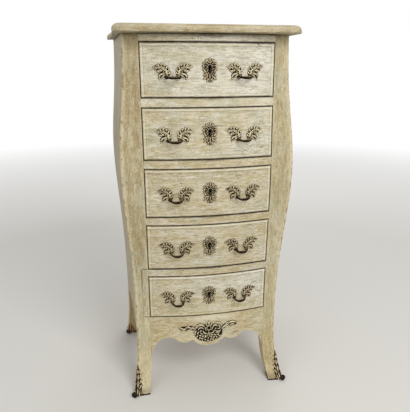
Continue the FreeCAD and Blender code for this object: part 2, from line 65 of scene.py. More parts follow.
# the swelling body, as the frame's posts, rails and panels have it
FRONT_EDGE_DEPTH = 0.147
FRONT_BOW = 0.019
ARRIS_HALF_WIDTH = 0.236
ARRIS_SETBACK = 0.013
BACK_HALF_WIDTH = 0.265
BACK_DEPTH = 0.206
BELLY_HEIGHT = 0.768
BELLY_OUT = 0.0225
BELLY_REACH = (0.200, 0.265)  # up, down
FRONT_BELLY_HEIGHT = 0.700
FRONT_BELLY_REACH = (0.220, 0.260)  # up, down
BELLY_FORWARD = 0.0155
BELLY_CORNER_FORWARD = 0.020
SIDE_THICKNESS = 0.018
SIDE_ARCH_RISE = 0.024
APRON_THICKNESS = 0.022
APRON_CUSPS = [0.285, 0.55]  # shares of half the opening
APRON_CLEARANCE = 0.0002  # under the lowest drawer's sides
APRON_RUBBED = ((0.015, 0.075), (0.010, 0.014))  # a pale patch: middle and half across, and down from the top
FRONT_GAP = 0.0015
BOLT_THROW = 0.008
CUT_SPARE = 0.0015  # round the bolt in its mortise
CUT_PAST = 0.002  # how far a cutter runs on past the wood
KEYHOLE_RISE = 0.0815  # above the bottom of the opening
KEYHOLE_RADIUS = 0.0045
KEYHOLE_SLOT = 0.005
KEYHOLE_DROP = 0.013
HANDLE_RISE = 0.071
HANDLE_PLACE = 0.102
BACK_BOARDS = 3
WOOD_SHARP = 38.0  # degrees from which an edge looks sharp
METAL_SHARP = 60.0

# the top board
TOP_FRONT_OVERHANG = 0.0235
TOP_EAR_OVERHANG = 0.024
TOP_EAR_RADIUS = 0.026
TOP_ROUND = 0.0150
TOP_FALL = 0.0185  # how far in the rounding reaches
TOP_LOWER_ROUND = 0.0030
TOP_INNER = 0.012  # how far in its underside starts
TOP_WEAR_REACH = 0.006
# painted shade under the top board's overhanging edge reaches this far
TOP_UNDERSIDE_SHADE_REACH = 0.0016

# legs: how far each corner moves from the splay's top to the floor, and its waist
SPLAY_TOP = 0.215
SPLAY_POWER = 3.5
FRONT_SPLAY = [(0.013, -0.058), (0.018, -0.0735), (0.010, -0.0675), (0.0155, -0.0685)]
FRONT_WAIST = [0.0, 0.002, -0.007, 0.0]
BACK_SPLAY = [(0.013, 0.002), (0.0105, 0.008), (0.008, 0.006), (0.006, 0.002)]
BACK_WAIST = [0.0] * 4

# edges
SOFT_EDGE = 0.0016  # rounding of free edges
RAIL_EDGE = 0.0012
TIGHT_EDGE = 0.0004  # rounding where two pieces meet flush
BARE_EDGE = 0.0006  # on the CAD's own shapes
ARRIS_CUT = 0.004
BEAD_WIDTH = 0.0095  # border bead of a drawer front, and the quirk inside it
BEAD_CREST = 0.0056  # its palest line, from the edge
BEAD_ROUND = 0.0022
BEAD_LINES = [0.0032, 0.0045, 0.0060, 0.0076]
QUIRK_DEPTH = 0.0009
QUIRK_HALF = 0.0007
QUIRK_LINES = (-0.9, -0.35, 0.0, 0.35, 0.9, 1.8, 4.0, 7.0)  # in shares of QUIRK_HALF
FIELD_DEPTH = 0.0005
GRID_STEP = 0.006

# wear, dirt and painted shade: how far each reaches
WEAR_REACH = 0.0035
DIRT_AND_SHADE_REACH = 0.0018  # dirt and painted shade in the rounding of an edge
FRONT_DIRT_AND_SHADE_REACH = 0.0025  # dirt and painted shade over a drawer front
DEEP_DIRT_AND_SHADE_REACH = 0.0048  # dirt and painted shadow over the highest one, in the top board's shadow
LOW_DIRT_AND_SHADE_REACH = 0.0032  # dirt and painted shade under a drawer front
SIDE_DIRT_AND_SHADE_REACH = 0.0020  # dirt and painted shade beside it
TOP_SHADE = 0.005  # painted shadow under the top board
RAIL_SHADE = 0.0022  # painted shadow on a rail under the drawer above it
SHADE_BULGE = (1.1, 0.045)  # how much deeper that painted shadow is in the middle, and how far to each side
SOLE_SHADE = 0.014  # dirt and painted shade round the foot of a leg
SHADE_SHARE = 0.55  # strength of the painted shade on the feet and the top board
BEAD_HIGHLIGHT = {1: 0.40, 2: 0.50, 3: 0.80, 4: 1.00, 5: 1.10}  # how strongly each front's upper bead is painted pale: a painted highlight along it
TARNISH = {1: 0.90, 2: 0.95, 3: 1.00, 4: 1.05, 5: 1.05}  # how dark each drawer's mounts are

# the scribed joint line in the left front post
JOINT_OUT = 0.0210
JOINT_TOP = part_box("rail_4")[1].z
JOINT_REACH = 0.200
JOINT_FADE = 0.045
JOINT_FAINT = 0.35  # its strength where it has faded
JOINT_FACE = 0.0012  # how near the face a point of the outline lies
JOINT_CORNER = 0.006
JOINT_HALF = 0.0015
JOINT_UNDER = 0.0180  # how far the shoulder under the lowest drawer runs on
JOINT_DEPTH = 0.0007
JOINT_STEPS = np.array([-8.0, -6.5, -5.0, -3.5, -2.2, -1.4, -0.7, 0.0, 0.7, 1.4, 2.8]) * MM

# how much paler or darker than its neighbours a piece is painted, partly painted shade: the back posts and the left
# front post are darker where shade fell on them
LIFT = {"top_board": -0.07, "rail_1": 0.03, "rail_2": -0.12, "rail_3": -0.34, "rail_4": -0.06,
        "front_apron": 0.02, "front_post_left": -0.14, "front_post_right": -0.02,
        "back_post_left": -0.08, "back_post_right": -0.08, "side_panel_left": -0.04, "side_panel_right": -0.04,
        "drawer_1_front": 0.04, "drawer_2_front": -0.02, "drawer_3_front": -0.05, "drawer_4_front": -0.05,
        "drawer_5_front": 0.09}
FOOT_LIFT = {"front_post_left": 0.42, "front_post_right": -0.18,  # the same, added toward the floor; on the back legs this is painted shade
             "back_post_left": -0.35, "back_post_right": -0.35}
FOOT_LIFT_TOP = 0.50


# ---- the swelling body
def band(value, middle, half):
    """1 along the middle of a band, fading to both sides."""
    return np.exp(-((value - middle) / half) ** 2)


def swelling(z, height, reach):
    """1 at a belly's height, fading to 0 above and below it."""
    return band(z, height, np.where(z > height, *reach))


def front_edge_y(z):
    """The front beside the drawers."""
    return -FRONT_EDGE_DEPTH - BELLY_FORWARD * swelling(z, FRONT_BELLY_HEIGHT, FRONT_BELLY_REACH)


def front_y(x, z):
    """The bowed front surface between the posts."""
    radius = (OPENING_HALF ** 2 + FRONT_BOW ** 2) / (2.0 * FRONT_BOW)
    return front_edge_y(z) - FRONT_BOW + radius - np.sqrt(radius ** 2 - x ** 2)


def arris(z):
    """The front corner on the right."""
    x = ARRIS_HALF_WIDTH + BELLY_OUT * swelling(z, BELLY_HEIGHT, BELLY_REACH)
    forward = BELLY_CORNER_FORWARD * swelling(z, FRONT_BELLY_HEIGHT, FRONT_BELLY_REACH)
    return x, front_edge_y(z) + ARRIS_SETBACK - forward


def back_corner_x(z):
    """Half the width at the back."""
    return BACK_HALF_WIDTH + BELLY_OUT * swelling(z, BELLY_HEIGHT, BELLY_REACH)


def side_x(y, z):
    """The side surface on the right."""
    ax, ay = arris(z)
    return ax + (y - ay) / (BACK_DEPTH - ay) * (back_corner_x(z) - ax)


def opening_bottom(number):
    """Bottom of a drawer's opening, counted from the top."""
    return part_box(f"drawer_{number}_front")[0].z - FRONT_GAP


def front_post_plan(z):
    """Inner front, arris, side and rear corners of the right front post."""
    return [(OPENING_HALF, front_edge_y(z)), arris(z), (side_x(POST_BACK_Y, z), POST_BACK_Y),
            (OPENING_HALF, POST_BACK_Y)]


def back_post_plan(z):
    """Outer back, outer front, inner front and inner back corners of the right back post."""
    return [(back_corner_x(z), BACK_DEPTH), (side_x(BACK_POST_FRONT_Y, z), BACK_POST_FRONT_Y),
            (BACK_POST_INNER, BACK_POST_FRONT_Y), (BACK_POST_INNER, BACK_DEPTH)]


FRONT_LEG = (front_post_plan, FRONT_SPLAY, FRONT_WAIST)
BACK_LEG = (back_post_plan, BACK_SPLAY, BACK_WAIST)


def post_corners(z, plan, splay, waist):
    """Plan corners of a post at one height, its leg splayed and waisted below SPLAY_TOP."""
    corners = np.array(plan(max(z, SPLAY_TOP)), float)
    down = max(SPLAY_TOP - z, 0.0) / SPLAY_TOP
    corners += np.array(splay) * down ** SPLAY_POWER
    corners[:, 0] += np.array(waist) * math.sin(math.pi * down) ** 2
    return corners


# ---- meshes
class Shell:
    """Vertices and faces of one piece, with each vertex's wear and hollow, 0 to 1.

    hollow is how dark a vertex is painted: a casting's groove, a place where wood holds dirt, and painted shade in
    gaps, under overhangs and on undersides; below 0 the paint is paler, as a painted highlight along a drawer's bead
    and a pale patch on the apron.
    """

    def __init__(self):
        self.points, self.wear, self.hollow, self.faces = [], [], [], []

    def add(self, points, wear, hollow):
        """Add vertices and return the number of the first."""
        first = sum(map(len, self.points))
        shape = np.shape(points)[:-1]
        self.points.append(np.asarray(points, float).reshape(-1, 3))
        self.wear.append(np.broadcast_to(wear, shape).reshape(-1))
        self.hollow.append(np.broadcast_to(hollow, shape).reshape(-1))
        return first

    def grid(self, points, wear=0.0, hollow=0.0, wrap=False, keep=None):
        """A sheet of quads over rows and columns of points; keep picks the quads."""
        rows, columns = np.shape(points)[:2]
        number = self.add(points, wear, hollow) + np.arange(rows * columns).reshape(rows, columns)
        beside = np.roll(number, -1, axis=1)
        quads = np.stack([number[:-1], beside[:-1], beside[1:], number[1:]], axis=-1)
        if not wrap:
            quads = quads[:, :-1]
        self.faces.extend((quads.reshape(-1, 4) if keep is None else quads[keep]).tolist())

    def loft(self, rings, wear=0.0, hollow=0.0, cap_wear=0.0, cap_hollow=0.0):
        """A skin over rings of points, with a flat face at each end."""
        self.grid(np.array(rings), wear, hollow, wrap=True)
        for ring in (rings[0], rings[-1]):
            first = self.add(ring, cap_wear, cap_hollow)
            self.faces.append(list(range(first, first + len(ring))))
        return self

    def slab(self, front, back, wear=0.0, dirt_and_shade=0.0, wall_wear=0.3):
        """A closed piece between two sheets of the same size, with its own wear on the walls."""
        self.grid(front, wear, dirt_and_shade)
        self.grid(back)
        rim_wear, rim_dirt_and_shade = (rim(np.broadcast_to(part, np.shape(front)[:-1])) for part in (wear, dirt_and_shade))
        walls = [(1.0 - share) * rim(front) + share * rim(back) for share in (0.0, 0.06, 0.16, 1.0)]
        wall = np.full(len(rim_wear), wall_wear)
        self.grid(np.array(walls), np.array([rim_wear, rim_wear, wall, wall]),
                  rim_dirt_and_shade * np.array([[1.0], [0.6], [0.2], [0.1]]), wrap=True)
        return self

    def mirror(self):
        """Add the left-hand twin of everything so far."""
        count = sum(map(len, self.points))
        self.points.append(np.concatenate(self.points) * (-1.0, 1.0, 1.0))
        self.wear.append(np.concatenate(self.wear))
        self.hollow.append(np.concatenate(self.hollow))
        self.faces.extend([[count + index for index in reversed(face)] for face in self.faces])

    def mesh(self, name, sharp_degrees=WOOD_SHARP):
        """The welded mesh, its faces turned outward and its sharp edges marked."""
        mesh = bpy.data.meshes.new(name)
        mesh.from_pydata(np.concatenate(self.points).tolist(), [], self.faces)
        carry(mesh, "wear", np.concatenate(self.wear))
        carry(mesh, "hollow", np.concatenate(self.hollow))
        work = bmesh.new()
        work.from_mesh(mesh)
        bmesh.ops.remove_doubles(work, verts=work.verts, dist=1e-6)
        bmesh.ops.dissolve_degenerate(work, edges=work.edges, dist=1e-7)
        bmesh.ops.recalc_face_normals(work, faces=work.faces)
        work.to_mesh(mesh)
        work.free()
        return shade(mesh, sharp_degrees)


def carry(mesh, label, values):
    """Give a mesh one number per vertex."""
    layer = mesh.attributes.new(label, "FLOAT", "POINT")
    layer.data.foreach_set("value", np.array(values, np.float32))


def shade(mesh, sharp_degrees=WOOD_SHARP):
    """Smooth shading between sharp edges."""
    mesh.shade_smooth()
    mesh.set_sharp_from_angle(angle=math.radians(sharp_degrees))
    return mesh


def rim(sheet):
    """The closed loop round a sheet of rows and columns."""
    sheet = np.asarray(sheet)
    return np.concatenate([sheet[0, :-1], sheet[:-1, -1], sheet[-1, :0:-1], sheet[:0:-1, 0]])


def space(x, y, z):
    """Points from coordinates of any matching shapes."""
    return np.stack(np.broadcast_arrays(x, y, z), axis=-1).astype(float)


def unit(vectors):
    """The same directions, one long."""
    return vectors / np.linalg.norm(vectors, axis=-1, keepdims=True)


def link(name, data):
    """A new object in the scene."""
    thing = bpy.data.objects.new(name, data)
    bpy.context.scene.collection.objects.link(thing)
    return thing


def put(mesh, name, material, node, body="case"):
    """Show a mesh or a shell as a piece that rides on a body and stands for a CAD node."""
    if isinstance(mesh, Shell):
        mesh = mesh.mesh(node.removeprefix(body + "_"), METAL_SHARP if name.endswith("bronze") else WOOD_SHARP)
    thing = link(name, mesh)
    mesh.materials.clear()
    mesh.materials.append(material)
    letters = sum((index + 1) * ord(letter) for index, letter in enumerate(name))
    carry(mesh, "board", [letters % 97 / 9.7] * len(mesh.vertices))  # shifts the grain
    carry(mesh, "lift", [LIFT.get(node, 0.0) + FOOT_LIFT.get(node, 0.0) * max(0.0, 1.0 - vertex.co.z / FOOT_LIFT_TOP)
                         for vertex in mesh.vertices])
    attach(thing, body)
    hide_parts(node)


def applied(thing, *helpers):
    """The mesh of an object with its modifiers applied; the object and its helpers go."""
    mesh = bpy.data.meshes.new_from_object(thing.evaluated_get(bpy.context.evaluated_depsgraph_get()))
    for used in (*helpers, thing):
        bpy.data.objects.remove(used)
    return shade(mesh)


def soften(node, material, body="case"):
    """Show a CAD node's own shape with its edges taken off."""
    thing = link("to_soften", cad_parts[node].data.copy())
    change = thing.modifiers.new("soften", "BEVEL")
    change.width = BARE_EDGE
    change.segments = 2
    change.limit_method = "ANGLE"
    change.angle_limit = math.radians(40.0)
    mesh = applied(thing)
    mesh.name = node
    put(mesh, node + "_softened", material, node, body)


def cut_away(mesh, *cutters):
    """The mesh less some closed shells."""
    thing = link("to_cut", mesh)
    helpers = [link("cutter", shell.mesh("cutter")) for shell in cutters]
    for helper in helpers:
        change = thing.modifiers.new("cut", "BOOLEAN")
        change.operation = "DIFFERENCE"
        change.solver = "EXACT"
        change.object = helper
    return applied(thing, *helpers)


def prism(outline, axis, start, end):
    """An outline run from start to end along an axis, to cut with."""
    return Shell().loft([np.insert(np.array(outline, float), axis, place, axis=1) for place in (start, end)])


def block(low, high):
    """A box to cut with."""
    return prism([low[:2], (high[0], low[1]), high[:2], (low[0], high[1])], 2, low[2], high[2])


def node_surface(node):
    """A CAD node's surface, for finding points on it."""
    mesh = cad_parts[node].data
    corners = [vertex.co for vertex in mesh.vertices]
    return BVHTree.FromPolygons(corners, [tuple(face.vertices) for face in mesh.polygons])


def hit(surface, origin, direction):
    """The first point of a surface along a ray."""
    return surface.ray_cast(Vector(origin), Vector(direction))[0]


# ---- shapes in wood
def border_steps(low, high, radius, spacing=GRID_STEP, lines=()):
    """Positions from low to high, close together in the rounding and at extra lines by both ends."""
    arc = radius * (1.0 - np.cos(np.linspace(0.0, math.pi / 2.0, 5)))
    near = np.array(lines) if len(lines) else radius + WEAR_REACH * np.array([0.5, 1.2])
    count = max(2, int(round((high - low - 2.0 * near[-1]) / spacing)))
    middle = np.linspace(low + near[-1], high - near[-1], count + 1)
    return np.concatenate([low + arc, low + near[:-1], middle, (high - near[:-1])[::-1], (high - arc)[::-1]])


def inside(value, low, high):
    """Distance to the nearer of two borders."""
    return np.minimum(value - low, high - value)


def round_depth(inset, radius):
    """How far a rounded edge falls back at a distance from the border."""
    return radius - np.sqrt(radius ** 2 - np.clip(radius - inset, 0.0, radius) ** 2)


def edge_wear(inset):
    """Wear that fades away from an edge."""
    return np.exp(-np.maximum(inset, 0.0) / WEAR_REACH)


def edge_dirt_and_shade(inset, reach):
    """Dirt and painted shade that lie in the rounding of an edge."""
    return band(np.maximum(inset, 0.0), 0.0, reach)


def drawer_front(low, high, top_reach, rubbed):
    """Bowed and swelling in front, flat behind, with a bead and a quirk round its border; rubbed is how strong the
    painted highlight along its upper bead is.
    """
    lines = BEAD_LINES + [BEAD_WIDTH + share * QUIRK_HALF for share in QUIRK_LINES]
    across, up = np.meshgrid(*(border_steps(low[axis], high[axis], BEAD_ROUND, lines=lines) for axis in (0, 2)))
    side_inset, level_inset = inside(across, low.x, high.x), inside(up, low.z, high.z)
    inset = np.minimum(side_inset, level_inset)
    quirk = band(inset, BEAD_WIDTH, QUIRK_HALF)
    field = FIELD_DEPTH * np.clip((inset - BEAD_WIDTH + 2.5 * QUIRK_HALF) / (2.5 * QUIRK_HALF), 0.0, 1.0)
    depth = np.maximum(round_depth(side_inset, BEAD_ROUND), round_depth(level_inset, BEAD_ROUND))
    depth = depth + np.maximum(field, QUIRK_DEPTH * quirk)
    bead = np.clip((BEAD_WIDTH - inset) / QUIRK_HALF, 0.0, 1.0)
    # painted highlight along the upper and the side beads
    upper, beside = (band(place, BEAD_CREST, 0.45 * BEAD_CREST) for place in (high.z - up, side_inset))
    # dirt and painted shade just under the upper quirk
    below = band(high.z - up, 1.25 * BEAD_WIDTH, 0.4 * BEAD_WIDTH)
    # dirt and painted shade in the gap lines round the front and in the quirk, less where the beads carry the painted
    # highlight
    dirt_and_shade = np.maximum(edge_dirt_and_shade(side_inset, SIDE_DIRT_AND_SHADE_REACH), edge_dirt_and_shade(high.z - up, top_reach))
    dirt_and_shade = np.maximum(np.maximum(dirt_and_shade, edge_dirt_and_shade(up - low.z, LOW_DIRT_AND_SHADE_REACH)), 0.35 * quirk)
    dirt_and_shade = dirt_and_shade + 0.20 * below - np.maximum(rubbed * upper, 0.40 * beside) * bead
    # the bead's pale wear is a painted highlight; along the edges it is wear
    return Shell().slab(space(across, front_y(across, up) + depth, up), space(across, high.y, up),
                        np.maximum(0.30 * bead, 0.3 * edge_wear(inset)), dirt_and_shade, 0.9)


def rail(low, high, top_shade, low_reach):
    """Bowed like the drawers, its ends tight against the posts; dirt and painted shade reach in from both edges, the
    painted shadow from above deepest in the middle.
    """
    across, up = np.meshgrid(border_steps(low.x, high.x, TIGHT_EDGE), border_steps(low.z, high.z, RAIL_EDGE))
    inset = inside(up, low.z, high.z)
    share, half = SHADE_BULGE
    shade_reach = top_shade * (1.0 + share * band(across, 0.0, half))
    dirt_and_shade = np.maximum(edge_dirt_and_shade(up - low.z, low_reach), edge_dirt_and_shade(high.z - up, shade_reach))
    front = space(across, front_y(across, up) + round_depth(inset, RAIL_EDGE), up)
    return Shell().slab(front, space(across, POST_BACK_Y, up), 0.55 * edge_wear(inset), dirt_and_shade)


def even_run(low, high, count):
    """Places between two places, the ends left out."""
    return np.linspace(low, high, count + 1)[1:-1]


def plain_runs(index, low, high):
    """Points spread evenly over each side of a post."""
    return even_run(low, high, 8)


def front_runs(index, low, high):
    """As plain_runs, with points close together at the joint line of a front post's face."""
    if index:
        return plain_runs(index, low, high)
    line = JOINT_OUT + JOINT_STEPS
    return np.concatenate([even_run(low, line[0], 4), line, even_run(line[-1], high, 10)])


def post_ring(corners, cuts, runs, worn=(1.0, 1.0, 1.0, 1.0)):
    """A rounded outline in plan and its points' wear; runs gives the points' distances along each side."""
    points = []
    wear = []
    for index, corner in enumerate(corners):
        following = (index + 1) % len(corners)
        length = np.linalg.norm(corners[following] - corner)
        after = unit(corners[following] - corner)
        start = corner + unit(corners[index - 1] - corner) * cuts[index]
        end = corner + after * cuts[index]
        for share in np.linspace(0.0, 1.0, 5):
            points.append((1 - share) ** 2 * start + 2 * share * (1 - share) * corner + share ** 2 * end)
            wear.append(worn[index])
        for run in runs(index, cuts[index], length - cuts[following]):
            points.append(corner + after * run)
            wear.append(max(worn[index] * math.exp((cuts[index] - run) / WEAR_REACH),
                            worn[following] * math.exp((run + cuts[following] - length) / WEAR_REACH)))
    return np.array(points), np.array(wear)


def joint_line(ring, corners, z):
    """A scribed line down a front post's face, beside the lowest drawer, that turns in over it."""
    face = unit(corners[1] - corners[0])
    offset = ring - corners[0]
    run = offset @ face
    on_face = np.abs(offset @ np.array([-face[1], face[0]])) < JOINT_FACE
    below = JOINT_TOP - z
    short = JOINT_CORNER - math.sqrt(max(JOINT_CORNER ** 2 - max(JOINT_CORNER - below, 0.0) ** 2, 0.0))
    beside = band(run, JOINT_OUT - short, JOINT_HALF) * (0.0 <= below < JOINT_REACH)
    beside = beside * (JOINT_FAINT + (1.0 - JOINT_FAINT) * math.exp(-max(below, 0.0) / JOINT_FADE))
    over = band(z, JOINT_TOP, JOINT_HALF) * (run < JOINT_OUT - JOINT_CORNER)
    under = band(z, CASE_BOTTOM, JOINT_HALF) * (run < JOINT_UNDER)
    deep = np.maximum(beside, np.maximum(over, under) * (run > JOINT_HALF)) * on_face
    return ring + JOINT_DEPTH * deep[:, None] * np.array([0.0, 1.0]), 1.2 * deep


def post(leg, cuts, runs, worn, scribed=False):
    """A post and its splayed leg as one length of wood."""
    heights = list(np.linspace(SOLE, CASE_TOP, int((CASE_TOP - SOLE) / GRID_STEP) + 1))
    if scribed:
        heights = sorted(heights + [JOINT_TOP - step * MM for step in np.arange(-3.0, 8.0, 0.5)]
                         + [CASE_BOTTOM + step * MM for step in np.arange(-3.0, 3.1, 0.6)])
    rings, wears, dirt_and_shade_rows = [], [], []
    for z in heights:
        corners = post_corners(z, *leg)
        ring, wear = post_ring(corners, cuts, runs, worn)
        # painted shadow under the top board; dirt and painted shade at the foot
        dirt_and_shade = max(edge_dirt_and_shade(CASE_TOP - z, TOP_SHADE), SHADE_SHARE * edge_dirt_and_shade(z - SOLE, SOLE_SHADE))
        deep = 0.0
        if scribed:
            ring, deep = joint_line(ring, corners, z)
        rings.append(space(*ring.T, z))
        wears.append(wear)
        dirt_and_shade_rows.append(np.maximum(np.full(len(ring), dirt_and_shade), deep))
    return Shell().loft(rings, np.array(wears), np.array(dirt_and_shade_rows))


# ---- materials
def tone(red, green, blue):
    """A colour given in 8-bit display values."""
    shares = [value / 255.0 for value in (red, green, blue)]
    return (*(part / 12.92 if part <= 0.04045 else ((part + 0.055) / 1.055) ** 2.4 for part in shares), 1.0)


def darker(colour, share):
    """A colour with less light in it."""
    return tuple(part * share ** 2.2 for part in colour[:3]) + (1.0,)


class Nodes:
    """Short calls that add nodes to a tree; inputs are sockets or values."""

    def __init__(self, tree):
        self.tree = tree

    def feed(self, socket, value):
        """Link a socket or set its value."""
        if isinstance(value, bpy.types.NodeSocket):
            self.tree.links.new(value, socket)
        else:
            socket.default_value = value

    def add(self, kind, inputs, output=0, **settings):
        """One node and one of its outputs, by name or number."""
        node = self.tree.nodes.new("ShaderNode" + kind)
        for name, value in settings.items():
            setattr(node, name, value)
        for name, value in inputs.items():
            self.feed(node.inputs[name], value)
        return node.outputs[output]

    def span(self, value, low, high, to_low=0.0, to_high=1.0):
        """Stretch a range, clamped."""
        return self.add("MapRange", {"Value": value, "From Min": low, "From Max": high,
                                     "To Min": to_low, "To Max": to_high})

    def math(self, operation, first, second):
        """Arithmetic on numbers."""
        return self.add("Math", {0: first, 1: second}, operation=operation)

    def plus(self, first, second):
        """The sum."""
        return self.math("ADD", first, second)

    def times(self, first, second):
        """The product."""
        return self.math("MULTIPLY", first, second)


class Finish(Nodes):
    """A material that is built up in layers over a body colour."""

    def __init__(self, name, roughness, specular, metallic=0.0):
        self.material = bpy.data.materials.new(name)
        self.material.use_nodes = True
        super().__init__(self.material.node_tree)
        self.shader = self.tree.nodes["Principled BSDF"]
        for label, value in (("Roughness", roughness), ("Metallic", metallic), ("Specular IOR Level", specular)):
            self.shader.inputs[label].default_value = value

    def place(self, scale=(1.0, 1.0, 1.0), shift=(0.0, 0.0, 0.0)):
        """Object coordinates, stretched."""
        return self.add("Mapping", {"Vector": self.add("TexCoord", {}, "Object"), "Scale": scale, "Location": shift})

    def attribute(self, name):
        """A number that the mesh carries."""
        return self.add("Attribute", {}, "Fac", attribute_name=name)

    def noise(self, vector, scale, detail, roughness, distortion=0.0, board=None):
        """Noise; with board the pattern differs from piece to piece."""
        inputs = {"Vector": vector, "Scale": scale, "Detail": detail, "Roughness": roughness, "Distortion": distortion}
        if board is None:
            return self.add("TexNoise", inputs, "Fac")
        return self.add("TexNoise", {**inputs, "W": board}, "Fac", noise_dimensions="4D")

    def grained(self, grain, coarse, *noise, shift=(0.0, 0.0, 0.0)):
        """Noise stretched along the grain."""
        return self.noise(self.place([coarse if axis == grain else 1.0 for axis in "xyz"], shift), *noise)

    def corners(self, distance):
        """1 in the open, less in corners."""
        return self.add("AmbientOcclusion", {"Distance": distance}, "AO", samples=6)

    def blend(self, share, first, second, mode="MIX"):
        """Mix two colours."""
        node = self.tree.nodes.new("ShaderNodeMix")
        node.data_type = "RGBA"
        node.blend_type = mode
        for socket, value in ((0, share), (6, first), (7, second)):
            self.feed(node.inputs[socket], value)
        return node.outputs[2]

    def cover(self, value, low, high, share, colour, limit=None):
        """Lay a colour over the body as a value goes from low to high, up to a share."""
        amount = self.span(value, low, high, 0.0, share)
        self.body = self.blend(amount if limit is None else self.times(amount, limit), self.body, colour)

    def done(self, height, strength, distance):
        """The material, with the body as its colour and fine relief."""
        self.feed(self.shader.inputs["Base Color"], self.body)
        relief = self.add("Bump", {"Height": height, "Strength": strength, "Distance": distance})
        self.feed(self.shader.inputs["Normal"], relief)
        return self.material


def painted_wood(name, grain, tan, cream, pale, rise, patch_share, streak_share):
    """Paint brushed along the grain, rubbed through at edges, with dirt and painted shade in the joints.

    rise is how much paler it is painted toward the top, as painted light, patch_share how cloudy it is at a hand's
    scale and streak_share how strongly the brush's marks show.
    """
    paint = Finish(name, 0.58, 0.35)
    span, plus, times, cover, noise = paint.span, paint.plus, paint.times, paint.cover, paint.noise
    board, wear, dirt_and_shade, lift = map(paint.attribute, ("board", "wear", "hollow", "lift"))
    plain = paint.place()
    x, height = (paint.add("SeparateXYZ", {0: plain}, axis) for axis in (0, 2))
    clouds = noise(plain, 9.0, 5.0, 0.62, 0.8, board)
    drifts = paint.grained(grain, 0.45, 8.0, 5.0, 0.6, 0.6, board, shift=(3.1, 1.7, 5.3))
    brush = paint.grained(grain, 0.10, 80.0, 5.0, 0.62, 0.8, board)
    streaks = paint.grained(grain, 0.13, 270.0, 5.0, 0.62, 0.6, board)
    pores = paint.grained(grain, 0.05, 520.0, 3.0, 0.6, 0.0, board)
    flakes = paint.grained(grain, 0.30, 190.0, 5.0, 0.65, 0.8, board)
    patches = paint.grained(grain, 0.55, 34.0, 4.0, 0.6, 0.9, board, shift=(2.3, 4.1, 0.7))
    mottle = noise(plain, 60.0, 6.0, 0.72, 0.5, board)
    cool = noise(plain, 15.0, 3.0, 0.55, 0.6, plus(board, 3.7))
    specks = noise(plain, 330.0, 3.0, 0.6, 0.0, board)

    # painted light: paler toward the top by rise and toward the right; lift adds each piece's tone, partly painted
    # shade
    painted_light_and_tone = plus(plus(span(height, 0.25, 1.15, -rise, rise), span(x, -0.25, 0.25, -0.05, 0.06)), lift)
    uneven = span(drifts, 0.36, 0.66, 0.5 * streak_share, 1.35 * streak_share)
    paint.body = paint.blend(span(plus(clouds, painted_light_and_tone), 0.30, 0.68, 0.1, 0.9), tan, cream)
    # pale drifts, more of them where the painted light is paler: a painted sheen
    cover(plus(drifts, times(painted_light_and_tone, 1.5)), 0.50, 0.78, 0.85, pale)
    cover(patches, 0.50, 0.68, patch_share, pale)
    cover(patches, 0.48, 0.32, patch_share, darker(tan, 0.88))
    cover(cool, 0.48, 0.64, 0.5, tone(178, 178, 154))
    cover(brush, 0.46, 0.66, 0.38, pale)
    cover(brush, 0.48, 0.32, 0.36, darker(tan, 0.90))
    cover(streaks, 0.52, 0.66, 0.66 * streak_share, pale)
    cover(streaks, 0.48, 0.33, 0.80, darker(tan, 0.70), uneven)
    cover(pores, 0.44, 0.30, 0.60, darker(tan, 0.56), uneven)
    cover(specks, 0.58, 0.68, 0.70, darker(tan, 0.64))
    cover(specks, 0.41, 0.32, 0.70, tone(236, 229, 208))
    cover(mottle, 0.56, 0.74, 0.42, darker(tan, 0.84))

    rubbed = plus(times(wear, span(flakes, 0.40, 0.62, 0.0, 1.3)), times(wear, span(mottle, 0.45, 0.70, -0.25, 0.25)))
    # pale along worn edges, and along a drawer's bead, where it is a painted highlight
    cover(wear, 0.0, 0.60, 0.48, tone(226, 214, 180))
    cover(rubbed, 0.46, 0.86, 0.80, tone(140, 110, 72))
    chips = noise(plain, 150.0, 3.0, 0.5, 0.0, board)
    sites = noise(plain, 21.0, 2.0, 0.5, 0.0, board)
    chipped = times(span(chips, 0.66, 0.69), span(sites, 0.53, 0.58))
    paint.body = paint.blend(chipped, paint.body, tone(86, 64, 38))

    paint.body = paint.blend(span(height, 0.42, 0.12), paint.body, (1.0, 0.96, 0.84, 1.0), "MULTIPLY")
    # darker in corners and joints: dirt and painted shade
    cover(paint.corners(0.020), 0.80, 0.25, 0.90, tone(64, 48, 20))
    # below 0, paler: a painted highlight along a drawer's beads, and the apron's pale patch
    cover(times(dirt_and_shade, span(flakes, 0.30, 0.55, -1.0, -0.65)), 0.10, 0.95, 0.90, tone(240, 233, 210))
    # dirt and painted shade: in the gap lines, under the top board and at the feet
    cover(times(dirt_and_shade, span(mottle, 0.35, 0.55, 0.70, 1.0)), 0.05, 0.95, 0.95, tone(46, 32, 8))
    marks = plus(times(streaks, 0.6), times(brush, 0.7))
    return paint.done(paint.math("SUBTRACT", marks, times(chipped, 0.5)), 0.60, 0.0006)


def bare_wood(name, grain):
    """Plain planed secondary wood."""
    wood = Finish(name, 0.72, 0.25)
    figure = wood.grained(grain, 0.05, 60.0, 5.0, 0.6, 1.6)
    fibres = wood.grained(grain, 0.03, 620.0, 3.0, 0.6)
    stain = wood.noise(wood.place(), 9.0, 4.0, 0.6)
    wood.body = wood.blend(wood.span(figure, 0.35, 0.65), tone(140, 113, 80), tone(174, 150, 116))
    wood.cover(fibres, 0.50, 0.30, 0.55, tone(104, 80, 54))
    wood.cover(stain, 0.50, 0.72, 0.6, tone(112, 92, 66))
    # darker in corners: painted shade
    wood.cover(wood.corners(0.02), 0.8, 0.3, 0.6, tone(70, 50, 30))
    return wood.done(fibres, 0.35, 0.0004)


